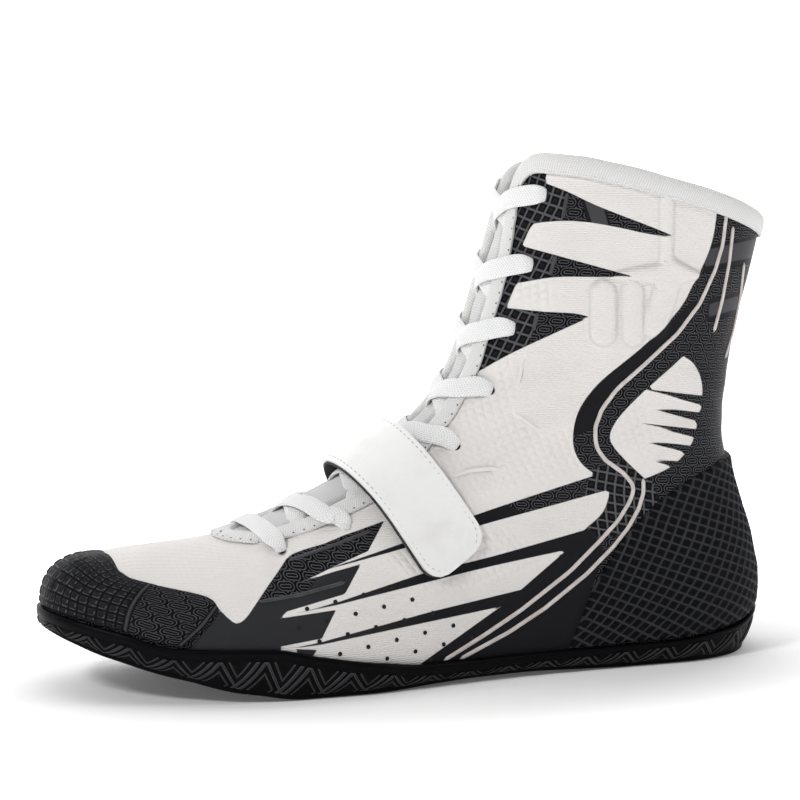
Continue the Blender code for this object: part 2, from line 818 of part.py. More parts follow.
def down_column(grid, normal, beyond, width):
    """Points and normals at a distance from the top edge, measured square to the edge."""
    spots, normals = [], []
    for column in range(len(grid)):
        line = grid[column, ::-1]
        length = arc_length(line)
        slant = -((line[1] - line[0]) @ beyond[column]) / length[1]
        at = width[column] / max(slant, LEAST_SLANT)
        spots.append([np.interp(at, length, line[:, axis]) for axis in range(3)])
        normals.append([np.interp(at, length, normal[column, ::-1, axis]) for axis in range(3)])
    normals = np.array(normals)
    return np.array(spots), normals / np.linalg.norm(normals, axis=1, keepdims=True)


def build_toe_cap():
    """The moulded cap over the toe, from the rim to its upper edge."""
    sides = []
    for side in (LATERAL, MEDIAL):
        rear = smooth_line(CAP_REAR, FINE)
        rim = foot_line(side, 1.0, OVERLAY_EDGE)
        rear[0, 1] = table(SOLE, "along", "rim_" + side_name(side), rear[0, 0]) + OVERLAY_EDGE
        bottom = spaced(side, np.vstack([rear[:1], rim[rim[:, 0] < rear[0, 0]]]), OVERLAY_COLUMNS + 1)
        edge = smooth_line(CAP_TOP, FINE)
        edge[-1] = (dorsal_along(edge[-1, 1]), edge[-1, 1])
        top = spaced(side, edge, OVERLAY_COLUMNS + 1)
        left = respace(rear, arc_length(rear), OVERLAY_ROWS + 1)
        front = front_line(bottom[-1, 1], top[-1, 1])
        right = respace(front, arc_length(front), OVERLAY_ROWS + 1)
        sides.append(centred(on_last(side, coons(bottom, top, left, right)), -1))
    overlay("toe_cap", np.concatenate([sides[0], sides[1][-2::-1]]))


def build_heel_counter():
    """The moulded counter around the heel, from the rim to its slanting front edge."""
    sides = []
    for side in (LATERAL, MEDIAL):
        front = smooth_line(COUNTER_FRONT, FINE)
        rim = foot_line(side, 1.0, OVERLAY_EDGE)
        front[0, 1] = table(SOLE, "along", "rim_" + side_name(side), front[0, 0]) + OVERLAY_EDGE
        bottom = spaced(side, np.vstack([rim[rim[:, 0] > front[0, 0]], front[:1]]), OVERLAY_COLUMNS + 1)
        slope = smooth_line(COUNTER_TOP, FINE)[::-1]
        back_height = slope[0, 1] + COUNTER_CROWN
        back_point = (float(table(HEEL_BACK, "height", "along", back_height)), back_height)
        reach = end_to_end(0.0, 1.0, FINE)[:-1, None]
        around = np.array(back_point) * (1 - reach) + slope[0] * reach
        top = spaced(side, np.vstack([around, slope]), OVERLAY_COLUMNS + 1)
        back = back_line(bottom[0, 1], top[0, 1])
        left = respace(back, arc_length(back), OVERLAY_ROWS + 1)
        right = respace(front, arc_length(front), OVERLAY_ROWS + 1)
        sides.append(centred(on_last(side, coons(bottom, top, left, right)), 0))
    overlay("heel_counter", np.concatenate([sides[1][:0:-1], sides[0]]))


def overlay(name, grid):
    """A thin moulded skin that follows a grid on the upper's outer surface."""
    normal = grid_normals(grid, False)
    low = grid + OVERLAY_CLEAR * normal
    points, faces = slab(low + OVERLAY_THICK * normal, low, False)
    solid(name, points, faces, BLACK_MOULDING)


def build_tongue():
    """The soft tongue under the throat, standing up between the throat's edges."""
    reach = np.linspace(TONGUE_START, TONGUE_END, TONGUE_ROWS)[None, :]
    share = np.linspace(-1.0, 1.0, TONGUE_COLUMNS + 1)[:, None]
    from_end = np.clip((TONGUE_END - reach) / TONGUE_CORNER, 0.0, 1.0)
    half = TONGUE_HALF_WIDTH * (TONGUE_TIP + (1.0 - TONGUE_TIP) * np.sqrt(1.0 - (1.0 - from_end) ** 2))
    across = share * half
    grid = instep(reach, across)
    normal = grid_normals(grid[::-1], False)[::-1]
    normal *= np.sign(normal[..., 2:3] - normal[..., 0:1])
    open_share = 1.0 - smoothstep((np.abs(across) - throat_gap(reach) + TONGUE_EDGE) / TONGUE_SLOPE)
    bend = np.maximum(reach - TONGUE_BEND_START, 0.0) ** 2 / (2.0 * TONGUE_BEND)
    depth = (TONGUE_UNDER - (TONGUE_UNDER - TONGUE_PROUD) * open_share + bend)[..., None]
    under = (TONGUE_UNDER + TONGUE_THICK + bend)[..., None]
    points, faces = slab(grid - depth * normal, grid - under * normal, False)
    solid("tongue", points, faces, GREY_MESH)


def build_strap():
    """The closing strap over the instep, round-ended on the outer side and rooted by the inner sole."""
    turn = np.linspace(-1.0, 1.0, 2 * STRAP_COLUMNS + 1)[:, None]
    depth = np.where(turn < 0.0, STRAP_LATERAL, STRAP_MEDIAL) * turn**2
    to_end = np.clip((STRAP_LATERAL - depth) / STRAP_CORNER, 0.0, 1.0)
    rounded = STRAP_TIP + (1.0 - STRAP_TIP) * np.sqrt(1.0 - (1.0 - to_end) ** 2)
    half = np.where(turn < 0.0, rounded, 1.0)
    share = np.linspace(-1.0, 1.0, STRAP_ROWS + 1)[None, :]
    reach = STRAP_REACH + STRAP_HALF_WIDTH * half * share
    point, _ = ridge_frame(reach)
    _, inward = ridge_frame(STRAP_REACH)
    place = point + inward * depth[..., None]
    grid = np.where(turn[..., None] < 0.0, on_last(LATERAL, place), on_last(MEDIAL, place))
    normal = grid_normals(grid, False)
    normal *= np.sign(normal[..., 2:3] - normal[..., 0:1] + 2.0 * np.abs(normal[..., 1:2]))
    falling = smoothstep((np.abs(turn) - LIFT_START) / (LIFT_END - LIFT_START))
    lift = STRAP_CLEAR + STRAP_LIFT * (1.0 - falling)
    low = grid + lift[..., None] * normal
    points, faces = slab(low + STRAP_THICK * normal, low, False)
    solid("strap", points, faces, WHITE_LEATHER)


def ribbon(name, start, end, clear):
    """A flat lace from one place on the instep to another, each given as reach and across."""
    share = np.linspace(0.0, 1.0, LACE_STEPS)[:, None]
    reach = start[0] + (end[0] - start[0]) * share
    across = start[1] + (end[1] - start[1]) * share
    aside = np.array([-1.0, 0.0, 1.0])[None, :] * LACE_HALF_WIDTH
    run = np.array([end[0] - start[0], end[1] - start[1]])
    run /= np.linalg.norm(run)
    grid = instep(reach + aside * run[1], across - aside * run[0])
    normal = grid_normals(grid, False)
    normal *= np.sign(normal[..., 2:3] - normal[..., 0:1])
    low = grid + clear * normal
    points, faces = slab(low + LACE_THICK * normal, low, False)
    return solid(name, points, faces, WHITE_LACE)


def build_laces():
    """The lowest bar, and above it a crossing of two ribbons at each pair of lace holes."""
    first = EYELETS[0]
    end = first.across - LACE_STOP
    ribbon("lace_bar", (first.reach, -end), (first.reach, end), LACE_CLEAR)
    for row, eyelet in enumerate(EYELETS[1:], start=2):
        low = eyelet.reach - LACE_DROP
        start = float(throat_gap(low)) - LACE_START
        end = eyelet.across - LACE_STOP
        item = ribbon("lace_cross_%d" % row, (low, start), (eyelet.reach, -end), LACE_CLEAR)
        name = "lace_over_%d" % row
        other = ribbon(name, (low, -start), (eyelet.reach, end), LACE_CLEAR + LACE_OVERLAP)
        combine(item, other, "UNION")


def main():
    """Builds every piece."""
    clear_scene()
    build_outsole()
    build_insole()
    build_upper()
    build_tongue()
    build_binding()
    build_toe_cap()
    build_heel_counter()
    build_strap()
    build_laces()


if __name__ == "__main__":
    main()
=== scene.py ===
"""The looks of a high-cut left boxing shoe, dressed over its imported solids.

Tables are in millimetres: "along" runs from the toe tip to the heel and "height" from the floor. Outlines of
the printed panels are read in the photograph's frame of 800 by 800 pixels and laid on the last through the
render's own camera. The inner side repeats them in mirror image.
"""

import logging
import math
from dataclasses import dataclass, replace
from enum import Enum
from typing import Callable, NamedTuple, Optional, Sequence, Union

import bpy
import numpy as np
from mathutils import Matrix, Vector

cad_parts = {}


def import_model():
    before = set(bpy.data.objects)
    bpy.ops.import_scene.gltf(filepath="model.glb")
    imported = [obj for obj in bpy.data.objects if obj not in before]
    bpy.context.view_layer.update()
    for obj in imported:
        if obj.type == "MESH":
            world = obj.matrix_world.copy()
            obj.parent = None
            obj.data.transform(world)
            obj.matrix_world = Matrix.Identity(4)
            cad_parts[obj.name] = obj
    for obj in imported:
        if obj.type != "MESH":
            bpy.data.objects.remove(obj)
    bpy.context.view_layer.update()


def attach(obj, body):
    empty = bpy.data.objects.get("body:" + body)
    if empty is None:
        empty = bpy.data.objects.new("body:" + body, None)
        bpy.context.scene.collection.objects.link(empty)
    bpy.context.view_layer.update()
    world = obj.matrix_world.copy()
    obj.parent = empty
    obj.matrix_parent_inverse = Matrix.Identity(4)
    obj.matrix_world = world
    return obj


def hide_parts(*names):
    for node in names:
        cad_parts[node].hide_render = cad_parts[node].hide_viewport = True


LOG = logging.getLogger("boxing_shoe")
MM = 0.001
BODY = "root"
FINE = 600
TINY = 1e-9
LOW_SHINE = 0.05
AHEAD = np.array([1.0, 0.0, 0.0])
UP = np.array([0.0, 0.0, 1.0])
Item = bpy.types.Object
Material = bpy.types.Material
Points = np.ndarray
Pixel = tuple[float, float]
Triple = tuple[float, float, float]
Number = Union[float, "Value"]


def smoothstep(value: Points) -> Points:
    """An S-curve from 0 to 1."""
    held = np.clip(value, 0.0, 1.0)
    return held * held * (3.0 - 2.0 * held)


class Side(Enum):
    """The shoe's two sides, as the sign of their distance across."""

    LATERAL = -1.0
    MEDIAL = 1.0

    @property
    def column(self) -> str:
        """The tables' column for this side."""
        return self.name.lower()


class Table:
    """Sizes in named columns, read along the first of them."""

    def __init__(self, columns: str, *rows: tuple[float, ...]) -> None:
        """Keeps the rows in the order of their first column.

        Args:
            columns: the columns' names, with spaces between them.
            rows: the sizes, row by row.
        """
        held = np.array(sorted(rows), float)
        self.key = held[:, 0]
        self.columns = dict(zip(columns.split(), held.T))

    def at(self, column: str, key: Points) -> Points:
        """Reads a column by a smooth curve that never overshoots its rows.

        Args:
            column: the column that is wanted.
            key: values of the first column.

        Returns:
            The column's values there.
        """
        xs, ys = self.key, self.columns[column]
        steps = np.diff(xs)
        slopes = np.diff(ys) / steps
        tangents = np.concatenate([slopes[:1], np.zeros(len(xs) - 2), slopes[-1:]])
        same_way = slopes[:-1] * slopes[1:] > 0.0
        before = np.where(same_way, slopes[:-1], 1.0)
        after = np.where(same_way, slopes[1:], 1.0)
        tangents[1:-1] = np.where(same_way, 2.0 * before * after / (before + after), 0.0)
        held = np.clip(np.asarray(key, float), xs[0], xs[-1])
        index = np.clip(np.searchsorted(xs, held) - 1, 0, len(steps) - 1)
        part = (held - xs[index]) / steps[index]
        low = ys[index] + part * steps[index] * tangents[index]
        high = ys[index + 1] - (1.0 - part) * steps[index] * tangents[index + 1]
        blend = smoothstep(part)
        return low * (1.0 - blend) + high * blend


class Eyelet(NamedTuple):
    """A lace hole by its reach along the ridge and its distance from the centre plane."""

    reach: float
    across: float


class Crease(NamedTuple):
    """A soft fold in the upper, by its middle in side view; a negative depth makes a raised place."""

    along: float
    height: float
    turn: float
    length: float
    breadth: float
    depth: float


LENGTH = 290.0
WALL = 2.2
GAP = 0.3
# Lines in side view, by along and height
DORSAL = (
    (1.6, 25), (1.6, 35), (3.8, 42.6), (10, 47.8), (23, 51), (42, 52), (62, 54.6),
    (86, 61.6), (111, 73.2), (136, 88), (154, 103), (164, 118), (171, 138),
    (177.3, 158), (183.2, 178), (189, 200),
)
CAP_REAR = ((44, 22.6), (51, 28), (57, 34.5))
CAP_TOP = ((57, 34.5), (53, 39), (36.5, 42.8), (26, 46), (24.5, 51.1))
COUNTER_FRONT = ((198, 10.5), (203, 22), (208, 33.5))
COUNTER_TOP = ((208, 33.5), (222.5, 53), (242.5, 69), (266, 77.5))
# Heights of the collar on each side
COLLAR = Table(
    "along lateral medial",
    (290, 169, 169), (266, 178.5, 178), (236, 188, 186.6), (212.7, 194.4, 192.5),
    (201, 196.7, 193.8), (193, 197.4, 194.5),
)
COLLAR_END = {Side.LATERAL: 193, Side.MEDIAL: 212.7}
# The heel's back, and how far ahead of it the heel is rounded
HEEL_BACK = Table(
    "height along round",
    (2, 282.6, 40), (12, 285.4, 40), (26, 288.6, 40), (40, 286.8, 41), (60, 281, 43),
    (78, 276.2, 46), (92, 274.4, 48), (108, 276, 50), (130, 280, 51),
    (150, 285.2, 52), (180, 292.4, 52),
)
# Half-widths of the foot
OUTLINE = Table(
    "along lateral medial",
    (0, 43, 40), (40, 44.5, 43), (80, 46.4, 46.2), (102, 46.6, 44.5), (130, 43.5, 39),
    (160, 38.5, 33.5), (200, 35, 31.5), (240, 34, 33), (290, 33.5, 33.5),
)
# Half-widths of the shaft, and how far behind the shin it is rounded
SHAFT = Table(
    "height lateral medial front_round",
    (60, 33.5, 33.5, 95), (90, 35.5, 35.5, 88), (120, 35, 35, 66),
    (150, 36, 36, 54), (200, 38.5, 38.5, 51),
)
# Heights of the sole's underside, its floor and its rims
SOLE = Table(
    "along bottom floor rim_lateral rim_medial",
    (0, 24.5, 27.5, 32, 32), (8, 20.5, 24, 30, 30), (22, 15, 18.5, 26.5, 26.5),
    (45, 8.2, 12, 21, 21), (70, 2.4, 6.4, 20.5, 19), (92, 0, 4.6, 16.5, 17),
    (118, 0, 4.6, 12, 14), (140, 0.9, 5, 9.5, 12), (170, 1.4, 5.2, 9, 11),
    (205, 0.5, 5.2, 9, 10), (225, 0, 5.2, 9.2, 9.6), (268, 0, 5.4, 12, 12),
    (290, 2.4, 6.4, 19, 19),
)
# Half the throat's opening on each side
THROAT = Table(
    "height lateral medial",
    (56.8, 0, 0), (57, 7, 7), (57.5, 12, 12), (59, 15, 15), (64, 17, 17),
    (71, 17.5, 17.5), (84, 14.5, 14.5), (100, 11, 11), (120, 9.5, 9.5), (145, 10, 10.4),
    (158, 9.8, 10.8), (167, 8.6, 11.3), (174, 7.2, 12.2), (180, 6.3, 13.9), (184, 5.9, 16.2),
    (188, 6, 20.8), (190.5, 6.7, 26.2), (192.5, 7.8, 33.8), (194.2, 9.2, 35), (195.9, 11.6, 35),
    (197, 14.4, 35), (197.4, 17.6, 35),
)
THROAT_TOP = {Side.LATERAL: 197.4, Side.MEDIAL: 192.5}
EYELETS = (
    Eyelet(99.8, 24.6), Eyelet(125.3, 25.5), Eyelet(150.6, 24), Eyelet(175.9, 22), Eyelet(197.5, 20.6),
    Eyelet(220.8, 21.2), Eyelet(245.9, 22), Eyelet(272.8, 21),
)
CREASES = (
    Crease(45, 55, 8, 34, 16, -1.4), Crease(84, 52, 62, 26, 5, 0.55),
    Crease(101, 56, 58, 30, 5.5, 0.5), Crease(168, 84, 38, 44, 7, 0.9),
    Crease(182, 100, 26, 48, 7, 0.8), Crease(190, 118, 16, 40, 6, 0.6),
    Crease(252, 96, -24, 34, 6.5, 0.7), Crease(256, 116, -18, 30, 6, 0.5),
)


def smooth_line(knots: Sequence[Sequence[float]], count: int) -> Points:
    """A Catmull-Rom line through knots.

    Args:
        knots: points of any dimension.
        count: how many points the line has.

    Returns:
        The line's points.
    """
    spots = np.array(knots, float)
    padded = np.vstack([2 * spots[0] - spots[1], spots, 2 * spots[-1] - spots[-2]])
    at = np.linspace(0.0, len(spots) - 1.0, count)
    index = np.minimum(at.astype(int), len(spots) - 2)
    part = (at - index)[:, None]
    before, start, end, after = (padded[index + shift] for shift in range(4))
    bend = 2 * before - 5 * start + 4 * end - after
    twist = 3 * (start - end) + after - before
    return start + 0.5 * part * (end - before + part * (bend + part * twist))


def arc_length(points: Points) -> Points:
    """Running length along a line of points."""
    return np.concatenate([[0.0], np.cumsum(np.linalg.norm(np.diff(points, axis=0), axis=1))])


def read_line(points: Points, length: Points, at: Points) -> Points:
    """Points of a line at given values of a running length."""
    return np.stack([np.interp(at, length, points[:, axis]) for axis in range(points.shape[1])], axis=-1)


def respace(points: Points, count: int, length: Optional[Points] = None) -> Points:
    """A line read again at even steps of its own length, or of another running length."""
    run = arc_length(points) if length is None else length
    return read_line(points, run, np.linspace(0.0, run[-1], count))


def end_to_end(start: float, end: float, count: int) -> Points:
    """Numbers from start to end, closest together at both ends."""
    return start + (end - start) * (1.0 - np.cos(np.linspace(0.0, math.pi, count))) / 2.0


def unit(vectors: Points) -> Points:
    """Vectors scaled to a length of one."""
    return vectors / np.maximum(np.linalg.norm(vectors, axis=-1, keepdims=True), TINY)


def ring(lateral: Points, medial: Points) -> Points:
    """Two sides that share their end columns, as one closed loop of columns."""
    return np.concatenate([lateral, medial[-2:0:-1]])


def closed(grid: Points) -> Points:
    """A loop of columns with its first column repeated at the end."""
    return np.concatenate([grid, grid[:1]])


def folded(outer: Points, inner: Points) -> Points:
    """Rows that run over an outer face, back over an inner one and to the start again."""
    return np.concatenate([outer, inner[:, ::-1], outer[:, :1]], axis=1)


def widened(values: Points) -> Points:
    """Values with the first and the last of them repeated."""
    return np.concatenate([values[:1], values, values[-1:]])


def capped(grid: Points) -> Points:
    """A folded grid whose two ends are closed along their middle."""
    ends = [0.5 * (grid[end] + grid[end][::-1])[None] for end in (0, -1)]
    return np.concatenate([ends[0], grid, ends[1]])


def middle_line(loop: Points) -> Points:
    """The middle line of a loop around the foot, one point for each of the loop's points."""
    return 0.5 * (loop + np.roll(loop[::-1], 1, axis=0))


def grid_normals(grid: Points, loop: bool) -> Points:
    """Unit normals of a grid of points, pointing out of the shoe.

    Args:
        grid: points by column and row.
        loop: whether the columns close on themselves.

    Returns:
        One normal for each point.
    """
    around = np.roll(grid, -1, axis=0) - np.roll(grid, 1, axis=0) if loop else np.gradient(grid, axis=0)
    return unit(np.cross(np.gradient(grid, axis=1), around))


class Last:
    """The form that the shoe is built on, as functions of the tables."""

    section_power = 2.15
    section_depth = 0.96
    depth_limit = 1.5
    tuck = 0.05
    tuck_height = 15.0
    foot_top = 32.0
    shaft_bottom = 100.0
    vamp_top = 66.0
    shin_bottom = 126.0
    toe_shift = 5.0
    toe_shift_end = 80.0
    toe_round = {Side.LATERAL: 82.0, Side.MEDIAL: 56.0}
    fan_start = 79.0
    flare_start = 200.0
    search_reach = 50.0
    bisections = 48

    def __init__(self) -> None:
        """Draws the ridge line that the other methods read."""
        self.ridge = smooth_line(DORSAL, FINE)
        self.tip = int(np.argmin(self.ridge[:, 0]))
        self.reach = arc_length(self.ridge)

    def ridge_height(self, along: Points) -> Points:
        """Height of the ridge over a place along the foot."""
        return np.interp(along, self.ridge[self.tip:, 0], self.ridge[self.tip:, 1])

    def ridge_along(self, height: Points) -> Points:
        """Place of the ridge, toe front or shin at a height."""
        return np.interp(height, self.ridge[:, 1], self.ridge[:, 0])

    def rounding(self, depth: Points) -> Points:
        """How far a section has swelled at a depth: 0 on its edge, 1 at full width."""
        held = np.clip(depth, 0.0, 1.0)
        return (1.0 - (1.0 - held) ** self.section_power) ** (1.0 / self.section_power)

    def ridge_depth(self, along: Points, height: Points) -> Points:
        """Depth under the ridge, from upright sections on the foot to level ones on the shaft.

        Args:
            along: places along the foot.
            height: their heights.

        Returns:
            0 on the ridge and 1 at a section's full width.
        """
        floor = SOLE.at("floor", along)
        top = self.ridge_height(along)
        upright = (top - height) / (self.section_depth * np.maximum(top - floor, 1.0))
        level = (along - self.ridge_along(height)) / SHAFT.at("front_round", height)
        foot = 1.0 - smoothstep((height - self.vamp_top) / (self.shin_bottom - self.vamp_top))
        return foot * np.minimum(upright, self.depth_limit) + (1.0 - foot) * level

    def half_width(self, side: Side, along: Points, height: Points) -> Points:
        """Half-width of the outer surface.

        Args:
            side: the side.
            along: places along the foot.
            height: their heights.

        Returns:
            Half-widths there.
        """
        foot = OUTLINE.at(side.column, along)
        shaft = SHAFT.at(side.column, height)
        floor = SOLE.at("floor", along)
        share = smoothstep((height - self.foot_top) / (self.shaft_bottom - self.foot_top))
        tuck = self.tuck * np.clip(1.0 - (height - floor) / self.tuck_height, 0.0, 1.0) ** 2
        width = (foot * (1.0 - share) + shaft * share) * (1.0 - tuck)
        toe = self.rounding((along - self.ridge[self.tip, 0]) / self.toe_round[side])
        behind = HEEL_BACK.at("along", height) - along
        back = self.rounding(behind / HEEL_BACK.at("round", height))
        return width * toe * back * self.rounding(self.ridge_depth(along, height))

    def centre(self, along: Points) -> Points:
        """The toe's shift towards the inner side."""
        return self.toe_shift * smoothstep(1.0 - along / self.toe_shift_end)

    def on(self, side: Side, places: Points) -> Points:
        """Points on the outer surface over side-view places."""
        along, height = places[..., 0], places[..., 1]
        across = self.centre(along) + side.value * self.half_width(side, along, height)
        return np.stack([along - LENGTH / 2, across, height], axis=-1)

    def facing(self, side: Side, places: Points, step: float = 0.6) -> Points:
        """Outward normals over side-view places."""
        ahead, above = np.array([step, 0.0]), np.array([0.0, step])
        run = self.on(side, places + ahead) - self.on(side, places - ahead)
        rise = self.on(side, places + above) - self.on(side, places - above)
        return side.value * unit(np.cross(rise, run))

    def girth(self, side: Side, places: Points, steps: int = 24) -> Points:
        """Distance from the heel's back around level sections.

        Args:
            side: the side.
            places: along and height of each place.
            steps: how many points each section is walked in.

        Returns:
            One distance for each place.
        """
        along, height = places[..., 0], places[..., 1]
        behind = HEEL_BACK.at("along", height)
        total = np.zeros_like(along)
        before = None
        for share in end_to_end(0.0, 1.0, steps):
            spot = self.on(side, np.stack([behind + (along - behind) * share, height], axis=-1))
            if before is not None:
                total = total + np.linalg.norm(spot - before, axis=-1)
            before = spot
        return total

    def ridge_frame(self, reach: Points) -> tuple[Points, Points]:
        """The ridge's point and inward direction, in side view, at a reach from the toe."""
        tangent = unit(np.gradient(self.ridge, axis=0))
        point = read_line(self.ridge, self.reach, reach)
        along = read_line(tangent, self.reach, reach)
        return point, np.stack([along[..., 1], -along[..., 0]], axis=-1)

    def narrowed(self, low: Points, wide: Callable[[Points], Points]) -> Points:
        """Finds by halving where a test first holds.

        Args:
            low: where the search starts.
            wide: the test, as a function of the place.

        Returns:
            The places.
        """
        high = low + self.search_reach
        for _ in range(self.bisections):
            middle = (low + high) / 2.0
            held = wide(middle)
            low = np.where(held, low, middle)
            high = np.where(held, middle, high)
        return high

    def instep(self, reach: Points, across: Points) -> Points:
        """Points over the instep.

        Args:
            reach: reach along the ridge from the toe.
            across: distance from the middle, negative on the outer side.

        Returns:
            Points on the outer surface.
        """
        reach, across = np.broadcast_arrays(np.asarray(reach, float), np.asarray(across, float))
        point, inward = self.ridge_frame(reach)

        def wide(depth: Points) -> Points:
            """Whether the section at a depth under the ridge is wide enough."""
            place = point + inward * depth[..., None]
            lateral, medial = (self.half_width(side, place[..., 0], place[..., 1]) for side in Side)
            return np.where(across < 0.0, lateral, medial) > np.abs(across)

        place = point + inward * self.narrowed(np.zeros_like(reach), wide)[..., None]
        along = place[..., 0]
        return np.stack([along - LENGTH / 2, self.centre(along) + across, place[..., 1]], axis=-1)

    def instep_frame(self, reach: Points, across: Points, step: float = 0.8) -> tuple[Points, Points]:
        """Points over the instep with their outward normals.

        Args:
            reach: reach along the ridge from the toe.
            across: distance from the middle.
            step: how far apart slopes are read.

        Returns:
            Points and unit normals.
        """
        spot = self.instep(reach, across)
        run = self.instep(np.asarray(reach) + step, across) - self.instep(np.asarray(reach) - step, across)
        over = self.instep(reach, np.asarray(across) + step) - self.instep(reach, np.asarray(across) - step)
        normal = unit(np.cross(over, run))
        normal *= np.sign(normal[..., 2:3] - normal[..., 0:1])
        return spot, normal

    def throat_gap(self, reach: Points, side: Side = Side.LATERAL) -> Points:
        """The throat's width from its middle to one side, at a reach along the ridge."""
        return THROAT.at(side.column, self.ridge_frame(np.asarray(reach, float))[0][..., 1])

    def heel_end(self, height_at: Callable[[Points], Points]) -> float:
        """Where a line that runs around the heel crosses the heel's back."""
        along = LENGTH
        for _ in range(12):
            along = float(HEEL_BACK.at("along", height_at(along)))
        return along

    def foot_line(self, side: Side, share: float, lift: float) -> Points:
        """A line around the foot from heel to toe.

        Args:
            side: the side.
            share: 0 at the sole's floor and 1 at its rim.
            lift: height over that.

        Returns:
            Side-view places.
        """

        def height_at(along: Points) -> Points:
            """The line's height."""
            floor = SOLE.at("floor", along)
            return floor + share * (SOLE.at("rim_" + side.column, along) - floor) + lift

        along = end_to_end(self.heel_end(height_at), self.ridge[self.tip, 0], FINE)
        return np.stack([along, height_at(along)], axis=-1)

    def foot_loop(self, share: float, lift: float, columns: int) -> tuple[Points, Points]:
        """A closed loop around the foot, with its outward plan directions.

        Args:
            share: 0 at the sole's floor and 1 at its rim.
            lift: height over that.
            columns: steps on each side.

        Returns:
            Points, and directions outwards in plan.
        """
        sides = []
        for side in Side:
            line = self.foot_line(side, share, lift)
            points = self.on(side, respace(line, columns + 1, arc_length(self.on(side, line))))
            for end in (0, -1):
                points[end, 1] = self.centre(points[end, 0] + LENGTH / 2)
            sides.append(points)
        loop = ring(*sides)
        along = np.roll(loop, -1, axis=0) - np.roll(loop, 1, axis=0)
        return loop, unit(np.stack([-along[:, 1], along[:, 0], 0.0 * along[:, 0]], axis=-1))

    def top_line(self, side: Side) -> Points:
        """Collar and throat edge as one line, from the heel's back to the vamp point.

        Args:
            side: the side.

        Returns:
            Side-view places.
        """

        def height_at(along: Points) -> Points:
            """The collar's height."""
            return COLLAR.at(side.column, along)

        def wide(along: Points) -> Points:
            """Whether the section is wider than the throat."""
            return self.half_width(side, along, height) > gap

        along = end_to_end(self.heel_end(height_at), COLLAR_END[side], FINE)
        collar = np.stack([along, height_at(along)], axis=-1)
        height = end_to_end(THROAT_TOP[side], THROAT.key[0], FINE)
        gap = THROAT.at(side.column, height)
        edge = self.narrowed(self.ridge_along(height), wide)
        return np.vstack([collar, np.stack([edge, height], axis=-1)])

    def front_line(self, low: float, high: float) -> Points:
        """Toe front and ridge between two heights."""
        height = np.linspace(low, high, FINE)
        line = np.stack([self.ridge_along(height), height], axis=-1)
        flat = self.ridge[(self.ridge[:, 1] > low) & (self.ridge[:, 1] < high)]
        joined = np.vstack([line, flat])
        return joined[np.argsort(joined[:, 1], kind="stable")]

    def upper_places(self, side: Side, columns: int, rows: int) -> Points:
        """Side-view places of one side of the upper.

        Args:
            side: the side.
            columns: steps from heel to toe.
            rows: steps from the sole to the top line.

        Returns:
            Places by column and row.
        """
        foot = self.foot_line(side, 0.0, GAP)
        head = self.top_line(side)
        foot_run = arc_length(self.on(side, foot))
        head_run = arc_length(self.on(side, head))
        to_heel = np.clip((foot[:, 0] - self.flare_start) / (foot[0, 0] - self.flare_start), 0.0, 1.0)
        over = foot[:, 0] + (head[0, 0] - foot[0, 0]) * to_heel
        upright = np.interp(-over, -head[:, 0], head_run)
        split = int(np.argmax(foot[:, 0] < self.fan_start))
        share = (foot_run - foot_run[split]) / (foot_run[-1] - foot_run[split])
        fanned = upright[split] + (head_run[-1] - upright[split]) * share
        run = np.where(np.arange(len(foot)) < split, upright, fanned)
        progress = np.concatenate([[0.0], np.cumsum(np.maximum(np.diff(foot_run), np.diff(run)))])
        at = np.linspace(0.0, progress[-1], columns + 1)
        feet = read_line(foot, progress, at)
        heads = read_line(head, head_run, np.interp(at, progress, run))
        front = respace(self.front_line(feet[-1, 1], heads[-1, 1]), rows + 1)
        even = np.linspace(0.0, 1.0, rows + 1)[None, :, None]
        shaped = ((front - front[0]) / (front[-1] - front[0]))[None]
        toe = smoothstep((self.fan_start - feet[:, 0]) / (self.fan_start - feet[-1, 0]))[:, None, None]
        places = feet[:, None] + (heads - feet)[:, None] * (even + toe * (shaped - even))
        heel = smoothstep((feet[:, 0] - self.flare_start) / (feet[0, 0] - self.flare_start))[:, None]
        level = places[..., 1]
        chord = np.interp(level, (feet[0, 1], heads[0, 1]), (feet[0, 0], heads[0, 0]))
        places[..., 0] += heel * (HEEL_BACK.at("along", level) - chord)
        return places

    def sheet(self, side: Side, places: Points, ends: Sequence[int]) -> Points:
        """A side's grid on the outer surface, with its end columns on the centre plane."""
        grid = self.on(side, places)
        for end in ends:
            grid[end, :, 1] = self.centre(grid[end, :, 0] + LENGTH / 2)
        return grid


def bridged(grid: Points, middle: int, reach: int = 4) -> Points:
    """A grid whose columns lie evenly across the ridge, where both sides meet."""
    share = np.linspace(0.0, 1.0, 2 * reach + 1)[:, None, None]
    laid = grid.copy()
    start, end = middle - reach, middle + reach
    laid[start:end + 1] = grid[start] * (1 - share) + grid[end] * share
    return laid


def coons(bottom: Points, top: Points, left: Points, right: Points) -> Points:
    """Side-view places filled in between four edge lines.

    Args:
        bottom: the lower edge.
        top: the upper edge.
        left: the edge where both start.
        right: the edge where both end.

    Returns:
        Places by column and row.
    """
    across = np.linspace(0.0, 1.0, len(bottom))[:, None, None]
    up = np.linspace(0.0, 1.0, len(left))[None, :, None]
    ruled = (1 - up) * bottom[:, None] + up * top[:, None] + (1 - across) * left + across * right
    near = (1 - up) * bottom[0] + up * top[0]
    far = (1 - up) * bottom[-1] + up * top[-1]
    return ruled - (1 - across) * near - across * far


